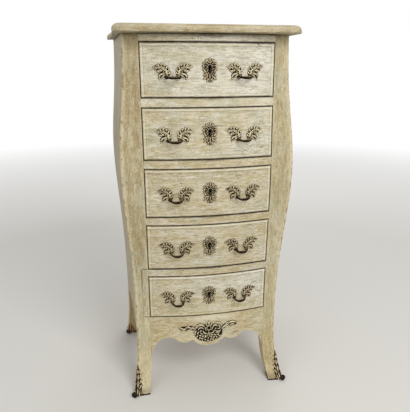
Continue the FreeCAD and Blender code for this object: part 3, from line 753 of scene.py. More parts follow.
def bronze(name, high, middle, low, dark):
    """Cast bronze, pale on the high parts and brown-black in the hollows."""
    metal = Finish(name, 0.5, 0.22, 0.3)
    plain = metal.place()
    patina = metal.noise(plain, 260.0, 5.0, 0.65)
    broad = metal.noise(plain, 60.0, 4.0, 0.65)
    depth = metal.plus(metal.attribute("hollow"), metal.span(patina, 0.3, 0.7, -0.13, 0.13))
    depth = metal.plus(depth, metal.span(broad, 0.35, 0.65, -0.10, 0.10))
    metal.body = metal.blend(metal.span(depth, 0.14 - dark, 0.42 - dark), high, middle)
    metal.cover(depth, 0.36 - dark, 0.56 - dark, 1.0, low)
    # darker in crevices and close to the wood: patina and painted shade
    metal.cover(metal.corners(0.004), 0.75, 0.30, 0.85, low)
    for label, start, end in (("Metallic", 0.45, 0.05), ("Roughness", 0.42, 0.80)):
        metal.feed(metal.shader.inputs[label], metal.span(depth, 0.15 - dark, 0.45 - dark, start, end))
    return metal.done(patina, 0.35, 0.0003)


def lock_iron(name):
    """Dark oiled iron with a little brown on it."""
    iron = Finish(name, 0.48, 0.5, 0.85)
    rust = iron.noise(iron.place(), 130.0, 5.0, 0.65)
    iron.body = iron.blend(iron.span(rust, 0.40, 0.70), tone(92, 88, 84), tone(104, 72, 48))
    return iron.done(rust, 0.3, 0.0003)


LEVEL_PAINT = painted_wood("paint_brushed_sideways", "x", tone(186, 167, 122), tone(206, 195, 158),
                           tone(231, 228, 217), 0.06, 0.42, 0.85)
# darker than the level paint, partly painted shade of the posts' faces
UPRIGHT_PAINT = painted_wood("paint_brushed_upright", "z", tone(160, 140, 95), tone(188, 174, 133),
                             tone(214, 206, 178), -0.13, 0.42, 0.75)
# greyer and darker than the front's paint: painted shade of the sides
SIDE_PAINT = painted_wood("paint_sides", "z", tone(162, 147, 115), tone(184, 174, 146), tone(206, 200, 180),
                          0.02, 0.12, 0.7)
TOP_PAINT = painted_wood("paint_top", "x", tone(146, 123, 78), tone(180, 164, 124), tone(208, 199, 168),
                         0.0, 0.55, 1.0)
WOOD_ALONG_X = bare_wood("bare_wood_sideways", "x")
WOOD_ALONG_Y = bare_wood("bare_wood_front_to_back", "y")
WOOD_UPRIGHT = bare_wood("bare_wood_upright", "z")
BRONZE = bronze("cast_bronze", tone(212, 200, 166), tone(100, 80, 42), tone(28, 18, 4), 0.07)
TARNISHED_BRONZE = bronze("cast_bronze_tarnished", tone(200, 185, 150), tone(92, 71, 36), tone(26, 17, 4), 0.13)
DARK_BRONZE = bronze("cast_bronze_dark", tone(184, 166, 132), tone(86, 65, 38), tone(24, 15, 6), 0.07)
RED_BRONZE = bronze("cast_bronze_reddish", tone(190, 150, 118), tone(118, 72, 42), tone(36, 22, 12), 0.04)
IRON = lock_iron("oiled_iron")


# ---- case
def both_hands(build, name, material):
    """Show a right-hand piece and its left-hand twin; build takes the hand, 1 or -1."""
    for hand, word in ((1, "right"), (-1, "left")):
        shell = build(hand)
        shell.points = [part * (hand, 1.0, 1.0) for part in shell.points]
        node = f"{name}_{word}"
        put(shell, node + "_wood", material, node)


def front_post(hand):
    """The left one has a scribed joint line."""
    return post(FRONT_LEG, [RAIL_EDGE, ARRIS_CUT, TIGHT_EDGE, TIGHT_EDGE], front_runs, (0.2, 1.0, 0.0, 0.5), hand < 0)


def back_post(hand):
    """The same on both sides."""
    return post(BACK_LEG, [SOFT_EDGE, TIGHT_EDGE, SOFT_EDGE, TIGHT_EDGE], plain_runs, (1.0, 0.0, 0.6, 0.3))


def side_panel(hand):
    """Right side panel, its lower edge arched; the left one is its twin."""
    half = (BACK_POST_FRONT_Y - POST_BACK_Y) / 2.0
    middle = (BACK_POST_FRONT_Y + POST_BACK_Y) / 2.0
    radius = (half ** 2 + SIDE_ARCH_RISE ** 2) / (2.0 * SIDE_ARCH_RISE)
    tall = CASE_TOP - SIDE_PANEL_LOW
    back, rise = np.meshgrid(border_steps(POST_BACK_Y, BACK_POST_FRONT_Y, TIGHT_EDGE),
                             border_steps(0.0, tall, SOFT_EDGE))
    low = SIDE_PANEL_LOW + SIDE_ARCH_RISE - radius + np.sqrt(radius ** 2 - (back - middle) ** 2)
    up = low + rise / tall * (CASE_TOP - low)
    x = side_x(back, up)
    # painted shadow under the top board
    return Shell().slab(space(x - round_depth(up - low, SOFT_EDGE), back, up), space(x - SIDE_THICKNESS, back, up),
                        edge_wear(up - low), edge_dirt_and_shade(CASE_TOP - up, TOP_SHADE))


def make_rails():
    """The rails over and between the drawers, each with the mortise for the bolt below it."""
    for number, node in enumerate(["top_rail", "rail_1", "rail_2", "rail_3", "rail_4"], 1):
        low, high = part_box(node)
        # painted shadow under the top board or the drawer above; dirt and painted shade along the lower edge
        reaches = (TOP_SHADE, FRONT_DIRT_AND_SHADE_REACH) if number == 1 else (RAIL_SHADE, DIRT_AND_SHADE_REACH)
        bolt_low, bolt_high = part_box(f"drawer_{number}_lock_bolt")
        mortise = block((bolt_low.x - CUT_SPARE, bolt_low.y - CUT_SPARE, low.z - CUT_SPARE),
                        (bolt_high.x + CUT_SPARE, bolt_high.y + CUT_SPARE, low.z + BOLT_THROW + CUT_SPARE))
        put(cut_away(rail(low, high, *reaches).mesh(node), mortise), node + "_wood", LEVEL_PAINT, node)


def make_apron():
    """The shaped rail under the lowest drawer."""
    surface = node_surface("front_apron")
    spread = border_steps(-OPENING_HALF, OPENING_HALF, TIGHT_EDGE, 0.0035)
    cusps = [side * share * OPENING_HALF for share in APRON_CUSPS for side in (-1, 1)]
    x = np.array(sorted(set(np.round(spread, 6)) | set(np.round(cusps, 6))))
    back_y = front_edge_y(CASE_BOTTOM) + APRON_THICKNESS
    limit = OPENING_HALF - TIGHT_EDGE
    low_edge = [hit(surface, (min(max(place, -limit), limit), back_y - APRON_THICKNESS / 2.0, 0.0), (0, 0, 1)).z
                for place in x]
    across, share = np.meshgrid(x, border_steps(0.0, 1.0, 0.016, 0.05))
    inset = share * (CASE_BOTTOM - APRON_CLEARANCE - np.array(low_edge))
    up = np.array(low_edge) + inset
    front = space(across, front_y(across, up) + round_depth(inset, SOFT_EDGE * 1.3), up)
    rubbed = -0.80 * band(across, *APRON_RUBBED[0]) * band(CASE_BOTTOM - up, *APRON_RUBBED[1])
    shell = Shell().slab(front, space(across, back_y, up), edge_wear(inset), rubbed)
    put(shell, "front_apron_wood", LEVEL_PAINT, "front_apron")


def top_outline():
    """Right half of the top board's edge, from the middle of the front to the back."""
    surface = node_surface("top_board")
    front = float(front_y(0.0, CASE_TOP)) - TOP_FRONT_OVERHANG
    ear_x = arris(CASE_TOP)[0] + TOP_EAR_OVERHANG
    points = [(x, front) for x in np.linspace(0.0, ear_x - TOP_EAR_RADIUS, 24)]
    for angle in np.linspace(0.0, math.pi / 2.0, 11)[1:]:
        points.append((ear_x - TOP_EAR_RADIUS * (1.0 - math.sin(angle)),
                       front + TOP_EAR_RADIUS * (1.0 - math.cos(angle))))
    for y in np.linspace(front + TOP_EAR_RADIUS, TOP_BACK_Y, 40)[1:]:
        points.append((hit(surface, (1.0, min(y, TOP_BACK_Y - 1e-4), CASE_TOP + 0.004), (-1, 0, 0)).x, y))
    return np.array(points)


def make_top():
    """The top board with its rounded upper edge, cut off square at the back."""
    outline = top_outline()
    tangent = unit(np.gradient(outline, axis=0))
    inward = np.stack([-tangent[:, 1], tangent[:, 0]], axis=1)
    inward[0] = (0.0, 1.0)
    straight = TOTAL_HEIGHT - CASE_TOP - TOP_ROUND
    lower, upper = (np.linspace(0.0, math.pi / 2.0, count) for count in (4, 10))
    profile = [(TOP_INNER, 0.0), *zip(TOP_LOWER_ROUND * (1.0 - np.sin(lower)), TOP_LOWER_ROUND * (1.0 - np.cos(lower))),
               *zip(TOP_FALL * (1.0 - np.cos(upper)), straight + TOP_ROUND * np.sin(upper))]
    rings, wears, dirt_and_shade_rows = [], [], []
    for inset, rise in profile:
        ring = outline + inward * inset
        ring[-1] += tangent[-1] * (TOP_BACK_Y - ring[-1, 1]) / tangent[-1, 1]
        ring[:, 1] = np.minimum(ring[:, 1], TOP_BACK_Y)
        whole = np.concatenate([ring, ring[:0:-1] * (-1.0, 1.0)])
        rings.append(space(*whole.T, CASE_TOP + rise))
        worn = math.exp(-abs(rise - straight - TOP_ROUND * 0.5) / TOP_WEAR_REACH)
        wears.append(np.full(len(whole), 0.04 + 0.34 * worn))
        # painted shade on the underside of the overhanging edge
        dirt_and_shade_rows.append(np.full(len(whole), SHADE_SHARE * edge_dirt_and_shade(rise + 0.3 * inset, TOP_UNDERSIDE_SHADE_REACH)))
    shell = Shell().loft(rings, np.array(wears), np.array(dirt_and_shade_rows), 0.1)
    put(shell, "top_board_wood", TOP_PAINT, "top_board")


def make_back():
    """The back, as upright boards side by side with their edges eased."""
    low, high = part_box("back_panel")
    shell = Shell()
    edges = np.linspace(low.x, high.x, BACK_BOARDS + 1)
    for left, right in zip(edges[:-1], edges[1:]):
        across, up = np.meshgrid(border_steps(left, right, RAIL_EDGE, 0.03),
                                 border_steps(low.z, high.z, RAIL_EDGE, 0.1))
        depth = round_depth(np.minimum(inside(across, left, right), inside(up, low.z, high.z)), RAIL_EDGE)
        shell.slab(space(across, high.y - depth, up), space(across, low.y, up))
    put(shell, "back_panel_boards", WOOD_UPRIGHT, "back_panel")


# ---- drawers
def keyhole_cutter(z, y0, y1):
    """A round eye over a slot, run from front to back."""
    half = KEYHOLE_SLOT / 2.0
    start = math.asin(half / KEYHOLE_RADIUS)
    outline = [(-half, z - KEYHOLE_DROP), (half, z - KEYHOLE_DROP)]
    for angle in np.linspace(-math.pi / 2.0 + start, 1.5 * math.pi - start, 25):
        outline.append((KEYHOLE_RADIUS * math.cos(angle), z + KEYHOLE_RADIUS * math.sin(angle)))
    return prism(outline, 1, y0, y1)


def make_drawers():
    """Drawer fronts with lock recess and keyhole; the boxes behind keep their CAD solids."""
    for number in DRAWERS:
        body = f"drawer_{number}"
        node = body + "_front"
        low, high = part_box(node)
        lock_low, lock_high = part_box(body + "_lock")
        shell = drawer_front(low, high, DEEP_DIRT_AND_SHADE_REACH if number == 1 else FRONT_DIRT_AND_SHADE_REACH, BEAD_HIGHLIGHT[number])
        recess = block(lock_low, (lock_high.x, high.y + CUT_PAST, high.z + CUT_PAST))
        keyhole = keyhole_cutter(opening_bottom(number) + KEYHOLE_RISE, low.y - CUT_PAST, lock_low.y + CUT_PAST)
        put(cut_away(shell.mesh(node), recess, keyhole), node + "_wood", LEVEL_PAINT, node, body)
        soften(body + "_sides", WOOD_ALONG_Y, body)
        soften(body + "_back", WOOD_ALONG_X, body)
        for name, material in (("_bottom", WOOD_ALONG_X), ("_lock", IRON), ("_lock_bolt", IRON)):
            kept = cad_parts[body + name].data.materials
            kept.clear()
            kept.append(material)


# ---- bronze castings
SINK = -0.6  # mm below the wood where a casting ends
LOW_PART = 2.4  # mm below which a casting is painted darker toward the wood: dirt and painted shade round its outline
PIT_FLOOR = 0.2  # mm over the wood
LEAF_STEPS = 14  # from point to point of a leaf's path

# Drawings in mm. A leaf's line has its path | widths | heights | vein, vein width, lobes, lobe depth, power;
# a dome or a pit has its place, radius and height or depth.
WING = """
leaf 17 -14  17 -5  22 4  31 10  42 12.5  52 12 | 6.4 8.2 9.2 8 6 2.4 | 1.7 | 0 .7 0 .25 10
leaf 23 -4  30 -7  35.5 -11  37 -17 | 6 6.4 5 3 | 1.6 | 0 .7 0 .25 10
leaf 30 8  38 8.2  46 10.2  55 12.6 | 4 5 4.2 .8 | 3.4 4.4 4 2 | 1.5 1
leaf 19 -3  22.5 4  28.5 9  36 12.5  44 14.2  51 13.2 | 4 4.8 4.6 3.8 2.8 .8 | 5.4 6.4 6.2 5.2 4.2 2.2 | 1.9 1 9 .2
leaf 18.5 5  17.95 9  15.4 13 | 2.32 2.9 1.74 | 4.6 5.4 3.4 | 1.5 .8 2 .2
leaf 24 9.5  23.9 13.95  21.8 18.4 | 2.56 3.2 1.92 | 4.6 5.4 3.4 | 1.5 .8 2 .2
leaf 30.5 13  31.45 16.9  30.4 20.8 | 2.72 3.4 2.04 | 4.6 5.4 3.4 | 1.5 .8 2 .2
leaf 37.5 14.5  39.55 17.35  39.6 20.2 | 2.32 2.9 1.74 | 4.6 5.4 3.4 | 1.5 .8 2 .2
leaf 26 3.5  33 2.6  40 1  45.5 2.6 | 3.2 4 3.2 .9 | 4.6 5.2 4.2 2 | 1.5 .9 3 .22
leaf 20 -4  27 -6  33 -8  37 -12.5  37.2 -19 | 3.4 4 3.6 3 1.4 | 5.2 5.8 5 4.2 2.6 | 1.5 .9 5 .2
leaf 22 -9  27 -12.5  30.5 -17 | 3 3 1 | 4.8 4.6 2.2 | 1.2 .8
dome 36.6 -18.8 2.6 3.8 | 25.2 -.6 2.4 6.4 | 33 6.2 1.9 5.6
leaf 16 -14  16.2 -7  18 0  20.5 5 | 4.8 5.6 5 4 | 5.8 7 6.8 5.6 | 1.3 .9 6 .18
leaf 15 -1  11.8 3.2  10.8 9.4 | 3 3 1.1 | 5 4.6 2.2 | 1.2 .8
leaf 14 -8  10.4 -4  9.2 1 | 2.8 2.8 1 | 4.8 4.2 2 | 1.2 .8
pit 13.6 4.6 2.2 5 | 12.6 -2 1.9 5 | 11.6 -8.4 2.2 5 | 24.4 13.4 2 5 | 29.8 -2.2 2.9 5 | 21.6 -.4 2.2 5
pit 40.8 6 2.9 5 | 31.2 -11.4 2.6 5 | 34.6 15.6 2 5 | 19.4 -11 2.2 5
"""

KEY_PLATE_ROUND = """
leaf 4 16.5  9 16  13 11.5 | 2 3.4 1.8 | 3.6 4.8 3.4 | 1.2 .6
leaf 15.4 8.5  17.6 3.5  16.6 -2 | 2 3.4 1.8 | 3.6 4.8 3.4 | 1.2 .6
leaf 16.4 -5  13.6 -10  8.5 -13 | 1.8 3.2 1.8 | 3.4 4.6 3.2 | 1.2 .6
dome 11.6 4.6 2.6 4.4 | 8.2 10.2 3.2 4.8 | 11.8 -3.6 2.4 4 | 7 -18.5 2.4 4.2
pit 14.6 8 1.9 3.6 | 5.4 15.2 1.9 3.6 | 15 -2.6 1.9 3.6 | 10.4 -15.4 1.9 3.6 | 4.4 -25.6 1.9 3.6
pit 11.4 -27.6 1.9 3.6
"""
KEY_PLATE_TIPS = """
leaf 9 15  10.75 18.85  12.5 21.5 | 2 2 .9 | 4 4.4 2.4 | 1 .5
leaf 15 10  18 12.6  21 14 | 2 2 .9 | 4 4.4 2.4 | 1 .5
leaf 17 2  19.5 3.6  22 4 | 1.8 1.8 .81 | 4 4.4 2.4 | 1 .5
leaf 16.5 -4  18.75 -5.15  21 -7.5 | 1.8 1.8 .81 | 4 4.4 2.4 | 1 .5
leaf 12 -11  14 -12.65  16 -15.5 | 1.8 1.8 .81 | 4 4.4 2.4 | 1 .5
leaf 2.5 13  6.5 18.5  5 24 | 2 2.2 .9 | 4 4.2 2.2 | .9 .5
leaf 4.5 -16.5  10.5 -17.5  15.5 -22  19 -21 | 2 3 2.4 .8 | 3.6 4.6 3.8 1.8 | 1.2 .6
leaf 5.5 -19.5  8.6 -24.5  7.6 -30 | 2 3.4 1.6 | 3.6 4.8 3.4 | 1.1 .6
leaf 11.5 -24.5  14.5 -29  19 -31.5 | 2 2.8 .8 | 3.6 4.2 1.8 | 1 .6
leaf 3.2 -30  6.4 -34  7.4 -39 | 2 2.8 .8 | 3.6 4.2 1.8 | .9 .5
"""
KEY_PLATE_MIDDLE = """
leaf 0 12  0 18  0 25 | 2.4 3 1.6 | 4.2 5 3 | 1.1 .6 2 .2
leaf 0 -15  0 -27  0 -40 | 2.8 3.2 1 | 4 4.8 2.4 | 1.2 .6 4 .18
"""

MOUNT_HEART = """
leaf -21 3  -15 -5.5  -5 -10.5 | 1.6 3.8 1.8 | 4.6 6.2 4.6 | .8
leaf 19 2  13.5 -6  5 -9.5 | 1.4 3.4 1.8 | 4.4 6 4.6 | .8
leaf -1 -4  0 -10  -.5 -17 | 2.2 3.6 1.8 | 4.6 5.8 4 | .8
"""
MOUNT_CREST = """
pit 0 12 6 9
leaf 0 21  0 30  0 39 | 3 5.2 1.8 | 4.6 5.8 2.6 | 1.4 .7 2 .22
"""
MOUNT_CREST_SIDES = """
leaf 3 20  8.5 24  9 31 | 2 3 .9 | 4.4 4.8 2.2 | 1
leaf 9.5 3  11.5 9  9.6 16 | 1.4 2.6 1.2 | 4 4.8 3.6 | .8
"""
MOUNT_SPRAYS = """
leaf -13 12  -19 21.5  -30 25.5  -41.5 19.5  -47.5 7 | 2 3.6 4.6 4.4 2.2 | 4.4 5.8 6.2 5.8 4.2 | 1.5 .9 6 .16
leaf -18 9  -25 15  -33 13.5  -37 6 | 1.4 3 2.8 1.4 | 4 5.4 5.2 3.8
leaf -43 3  -47 -4  -44 -12.5 | 2 3.4 1.4 | 4.2 5.2 3.2 | 1
leaf -34 0  -38.5 -6  -35.5 -12 | 2 3.2 1.4 | 4.2 5.2 3.4 | 1
dome -27.5 3 4 6
leaf -28 -5  -24 -9  -18.5 -10 | 2.2 3.2 1.4 | 4.4 5.2 3.6 | .8
leaf 12 12  16.5 19.5  24 20.5  28.5 13.5 | 1.8 3.4 3.4 1.6 | 4.4 5.8 5.8 4.2 | 1.2
leaf 20 27.5  30 29  39.5 23  44 13 | 1.6 3.4 3.8 1.8 | 4 5.6 5.8 4 | 1.4 .9 4 .16
leaf 31 19  36.5 13.5  35.5 6.5  29.5 5.5 | 1.4 3 3 1.4 | 4 5.4 5.4 3.8
dome 22.5 7.5 3.6 5.8
leaf 45 9  48.5 0  45.5 -9.5 | 2.2 3.4 1.4 | 4.2 5.2 3.2 | 1
leaf 21.5 0  28 -4  35 -4.5  41 0 | 1.8 3 3 1.2 | 4.2 5.2 5 3.2 | .8
leaf 24 -8.5  31 -10  38 -8.5 | 2 2.8 1.2 | 4.2 5 3.2 | .8
pit -21 4 2.4 4.6 | -31 19 2.2 4.6 | -40.5 12 2.6 4.6 | -24 -13.5 2.4 4.6 | -34 -17 2.4 4.6
pit 26 13.5 2.4 4.6 | 40 6 2.8 4.6 | 13 -13.5 2.6 4.6 | -9 -15.5 2.8 4.6 | 4.5 -17 2.4 4.6
pit -17.5 -23.5 2.2 4.6 | 10.5 -29 2.2 4.6 | 22 -21.5 2.2 4.6 | -15 16.5 2.2 4.6 | 13.5 25 2.2 4.6
leaf 46 6  57 13.5  68 17.5  80 19.5  92 18 | 5.6 7.6 9.6 9.6 6.4 | 1 | 0 .7 0 .25 12
leaf 44 5  51 11.5  60 16.5  69 19 | 2.6 3.8 4 1.6 | 4.6 5.8 5.8 3.8 | 1.6 .9
leaf 66 21  75 25.5  85 25  92 21 | 2 4.2 4.4 1.8 | 4.6 6 6 4.2 | 1.6 1
leaf 92 24  97 18  94 11.5  87 11 | 1.8 3 3.2 1.4 | 4.2 5.4 5 3.2 | 1
leaf 57 9  65 11  73 9.5 | 2.2 3.6 1.2 | 4.4 5 2.4 | 1.2
leaf 73 15.5  80 17  87 16.5 | 2.2 3.6 1.4 | 4.6 5.2 3 | 1
leaf 56 18  62 23.5  69 25.5 | 2 2.8 .9 | 4.4 4.4 2.2 | 1
pit 64 13.6 2.4 5 | 71.5 20.8 2.6 5 | 81 21.2 2.4 5 | 90.5 15.5 2.6 5 | 76 12 2.8 5 | 54.5 9.6 2.2 5
leaf -46 9  -60 14.5  -74 14  -92 15 | 5.6 9 9.6 6.4 | 1 | 0 .7 0 .25 12
leaf -45 9  -54 15.5  -64 16.5 | 2.6 4.4 1.8 | 4.8 5.8 3.8 | 1.6 .9
leaf -60 15.5  -69 20  -78 18 | 2.4 4.4 1.8 | 4.8 5.8 3.8 | 1.6 .9
leaf -75 15.5  -85 13  -93 16.5  -97 23 | 2.2 4 3.2 1 | 4.6 5.4 4.6 2.4 | 1.4
leaf -59 11.5  -67 8.5  -76 8.5 | 2.2 3.6 1.2 | 4.4 5 2.4 | 1.2
leaf -81 10  -87 6.5  -94 8 | 2.2 3 1 | 4.2 4.4 2.2 | 1
pit -66 13.2 2.8 5 | -75 12.6 2.6 5 | -84 17.8 2.2 5 | -56 10.8 2.2 5 | -90 11.8 2 5
"""
MOUNT_BEADS = (
    (-29, -15, 4.2), (-20.5, -18.5, 3.4), (20.5, -16.5, 3.6), (30, -16, 4.2), (-31, -25, 3.2), (-22.5, -27, 4.0),
    (-12.5, -21.5, 4.0), (-2.5, -25.5, 3.6), (7.5, -22.5, 3.4), (16, -25.5, 4.2), (26, -25.5, 3.4), (36, -22, 3.0),
    (-13.5, -31.5, 3.4), (-4.5, -35, 4.2), (6, -33, 3.2), (14.5, -35.5, 3.4), (23, -33.5, 3.0), (-40, -17.5, 2.8),
    (-22, -36, 2.8), (3.5, -40, 2.6))

# up a leg, in mm sideways and in shares of the sabot's height
SABOT_CORNER = """
leaf 0 0  0 .34  0 .42 | 20 19 11 | 1.2 | 0 .7 0 .25 8
leaf 0 .3  0 .65  0 1 | 14 10 1.4 | 1.2 | 0 .7 0 .25 8
"""
SABOT_SIDES = """
leaf 6.8 .07  6.2 .16  5.4 .25 | 2.1 3 1.8 | 4.4 6 4.2 | .8
leaf 5.8 .31  5.2 .39  4.4 .47 | 2.24 3.2 1.92 | 4.4 6 4.2 | .8
leaf 5 .53  4.4 .605  3.6 .68 | 2.1 3 1.8 | 4.4 6 4.2 | .8
leaf 3.4 .74  2.8 .8  2 .86 | 1.54 2.2 1.32 | 4.4 6 4.2 | .8
leaf 13.4 .05  12.8 .12  13.6 .2 | 2.2 3.2 1.6 | 4 5 3.4
leaf 11.4 .26  15.4 .34  20 .33 | 2.2 3.4 1.1 | 4.4 5.2 2 | 1.2
leaf 10.4 .41  13.6 .5  17.8 .51 | 2 3.2 1.1 | 4.4 5.2 2.2 | 1.2
leaf 8.4 .58  11 .67  14.8 .7 | 1.8 3 1 | 4.4 5 2.2 | 1
leaf 4.6 .76  7.6 .84  9.8 .86 | 1.6 2.4 .9 | 4 4.2 2 | .8
dome 19 .12 2.4 4 | 11 .36 1.9 5
"""
SABOT_SPINE = """
dome 0 .16 1.9 4.6 | 0 .38 1.9 4.6 | 0 .6 1.9 4.6 | 0 .8 1.9 4.6
leaf 0 .86  0 .97 | 1.8 .8 | 4.4 2.2
"""


class Casting:
    """Relief over a flat sheet in millimetres."""

    def __init__(self, low_u, high_u, low_v, high_v, step):
        self.u, self.v = np.meshgrid(np.arange(low_u, high_u + step, step),
                                     np.arange(low_v, high_v + step, step))
        self.height = np.full(self.u.shape, SINK)

    def draw(self, drawing, hand=1.0, tall=1.0, late=0.0):
        """Follow a drawing, or its left-hand twin."""
        for line in drawing.strip().splitlines():
            kind, numbers = line.split(" ", 1)
            parts = [[float(word) for word in part.split()] for part in numbers.split("|")]
            if kind == "leaf":
                path, widths, heights, *more = parts
                self.leaf((np.reshape(path, (-1, 2)) + (0.0, late)) * (hand, tall), widths, heights,
                          *(more[0] if more else ()))
            else:
                for u, v, radius, height in parts:
                    getattr(self, kind)(hand * u, (v + late) * tall, radius, height)

    def raise_to(self, field, where=...):
        """Keep whichever is higher, over the whole sheet or where told."""
        self.height[where] = np.maximum(self.height[where], field)

    def leaf(self, path, widths, heights, vein=0.0, vein_width=0.7, lobes=0, lobe_depth=0.25, power=2.4):
        """A tapering ridge along a curve; lobes notch its edges and a vein runs down it."""
        line = smooth_line(path, LEAF_STEPS * (len(path) - 1) + 1)
        share = np.linspace(0.0, 1.0, len(line))
        width_at, height_at = (np.interp(share, np.linspace(0, 1, len(part)), part) for part in (widths, heights))
        reach = max(widths) * (1.0 + lobe_depth) + 1.0
        near = np.ones(self.u.shape, bool)
        for sheet, places in ((self.u, line[:, 0]), (self.v, line[:, 1])):
            near &= (sheet > places.min() - reach) & (sheet < places.max() + reach)
        here = np.stack([self.u[near], self.v[near]], axis=1)
        best = np.full(len(here), 1e9)
        at = np.zeros(len(here))
        for index, start in enumerate(line[:-1]):
            step = line[index + 1] - start
            way = np.clip((here - start) @ step / (step @ step), 0.0, 1.0)
            far = np.linalg.norm(here - start - way[:, None] * step, axis=1)
            closer = far < best
            best[closer] = far[closer]
            at[closer] = (index + way[closer]) / (len(line) - 1)
        waves = 2.0 * math.pi * lobes
        width = np.interp(at, share, width_at) * (1.0 + bool(lobes) * lobe_depth * np.cos(waves * at))
        height = np.interp(at, share, height_at)
        across = best / np.maximum(width, 0.2)
        ribs = 0.5 - 0.5 * np.cos(waves * (at + 0.16 * across))
        field = height * (1.0 - across ** power) - 0.16 * height * ribs * np.clip(across * 1.6, 0.0, 1.0)
        self.raise_to(field - vein * band(best, 0.0, vein_width) * (across < 1.0), near)

    def plate(self, v, half_width, half_height, height, power):
        """A flat oval ground."""
        far = np.hypot(self.u / half_width, (self.v - v) / half_height)
        self.raise_to(height * (1.0 - np.minimum(far, 3.0) ** power))

    def dome(self, u, v, radius, height):
        """A bead or boss."""
        self.raise_to(height * (1.0 - (np.hypot(self.u - u, self.v - v) / radius) ** 2.2))

    def pit(self, u, v, radius, depth):
        """A dimple."""
        dip = depth * np.clip(1.0 - (np.hypot(self.u - u, self.v - v) / radius) ** 2, 0.0, 1.0)
        self.height = np.maximum(self.height - dip, np.minimum(self.height, PIT_FLOOR))

    def from_keyhole(self, radius, slot_half, slot_v, slot_tall):
        """Distance outside a round eye over a slot."""
        return np.minimum(np.hypot(self.u, self.v) - radius,
                          np.maximum(np.abs(self.u) - slot_half, np.abs(self.v - slot_v) - slot_tall))

    def onto(self, shell, place, contrast=0.85, low_share=0.85):
        """Add the relief, closed at the back, darker in its grooves as patina and toward the wood as dirt and painted
        shade; place turns (u, v, height) into points.
        """
        soft = self.height
        for reach in (1, 2, 3):
            for axis in (0, 1):
                soft = (soft + np.roll(soft, reach, axis) + np.roll(soft, -reach, axis)) / 3.0
        low = np.clip((LOW_PART - self.height) / LOW_PART, 0.0, 1.0)
        hollow = np.clip(0.40 + contrast * (soft - self.height) + low_share * low, 0.0, 1.0)
        solid = self.height > SINK + 0.02
        cells = solid[:-1, :-1] | solid[1:, :-1] | solid[:-1, 1:] | solid[1:, 1:]
        shell.grid(place(self.u, self.v, self.height), 0.0, hollow, keep=cells)
        shell.grid(place(self.u, self.v, np.full(self.u.shape, SINK)), 0.0, 1.0, keep=cells)


def smooth_line(path, count):
    """A smooth curve through points, as a row of points."""
    points = np.array(path, float)
    padded = np.vstack([2 * points[0] - points[1], points, 2 * points[-1] - points[-2]])
    spots = []
    for share in np.linspace(0.0, len(points) - 1 - 1e-9, count):
        index = int(share)
        t = share - index
        p0, p1, p2, p3 = padded[index:index + 4]
        spots.append(0.5 * (2 * p1 + (p2 - p0) * t + (2 * p0 - 5 * p1 + 4 * p2 - p3) * t ** 2
                            + (3 * p1 - p0 - 3 * p2 + p3) * t ** 3))
    return np.array(spots)


def oval(v, half_width, half_height, count):
    """A closed path round a place on the middle line."""
    return [(half_width * math.cos(turn), v + half_height * math.sin(turn))
            for turn in np.linspace(0.0, 2.0 * math.pi, count)]


def shaded(slope):
    """Painted light on a bar or bead by how far its surface faces up, -1 to 1: paler on top as a painted highlight,
    darker underneath as painted shade.
    """
    return 0.60 - 0.34 * slope


def tube(shell, path, radii, sides=16, count=64):
    """A round bar of changing thickness along a smooth curve, closed at its ends."""
    line = smooth_line(path, count)
    radius = np.interp(np.linspace(0.0, 1.0, count), np.linspace(0.0, 1.0, len(radii)), radii)
    tangent = unit(np.gradient(line, axis=0))
    side = unit(np.cross(tangent, (0.0, 0.0, 1.0)))
    up = np.cross(side, tangent)
    angle = np.linspace(0.0, 2.0 * math.pi, sides, endpoint=False)[None, :, None]
    out = np.cos(angle) * side[:, None] + np.sin(angle) * up[:, None]
    shell.loft(line[:, None] + radius[:, None, None] * out, 0.0, shaded(out[:, :, 2]), 0.0, 0.5)


def ball(shell, centre, radii, rows=9, columns=14):
    """A small bead, wider or flatter as its three radii in mm say."""
    around, up = np.meshgrid(np.linspace(0.0, 2.0 * math.pi, columns, endpoint=False),
                             np.linspace(-math.pi / 2.0, math.pi / 2.0, rows))
    points = space(np.cos(up) * np.cos(around), np.cos(up) * np.sin(around), np.sin(up))
    shell.grid(np.asarray(centre) + points * np.array(radii) * MM, 0.0, shaded(np.sin(up)), wrap=True)


def on_front(centre_x, centre_z):
    """A function that lays (u, v, height) in mm on the bowed front about a centre."""
    def place(u, v, height):
        x, z = centre_x + u * MM, centre_z + v * MM
        return space(x, front_y(x, z) - height * MM, z)
    return place


def draw_pull():
    """Both wings of a pull."""
    casting = Casting(-57.0, 57.0, -23.0, 24.0, 0.58)
    for hand in (-1, 1):
        casting.draw(WING, hand)
    return casting


# half of a pull's grip in mm: out from the middle, up, and off the wood
GRIP = [(0.0, -16.4, 25.5), (7.0, -16.4, 24.6), (12.6, -15.8, 20.5), (16.2, -14.4, 13.5), (17.2, -11.8, 6.0)]
GRIP_RADII = [4.0, 3.8, 3.4, 3.7, 4.6]
# its buds in mm: place and radii
GRIP_BUDS = [((u, -16.4, 25.4), (2.2, 4.4, 4.5)) for u in (-4.4, 0.0, 4.4)] + [
    ((u, -15.0, 16.6), (3.2, 4.4, 4.4)) for u in (-15.2, 15.2)]


def add_pull(shell, casting, number, side):
    """One pull on a drawer: wings, grip and the buds on it."""
    place = on_front(side * HANDLE_PLACE, opening_bottom(number) + HANDLE_RISE)
    casting.onto(shell, place, TARNISH[number], TARNISH[number])
    path = [(-u, v, height) for u, v, height in GRIP[:0:-1]] + GRIP
    tube(shell, [place(*point) for point in path], [radius * MM for radius in GRIP_RADII[:0:-1] + GRIP_RADII])
    for spot, radii in GRIP_BUDS:
        ball(shell, place(*spot), radii)


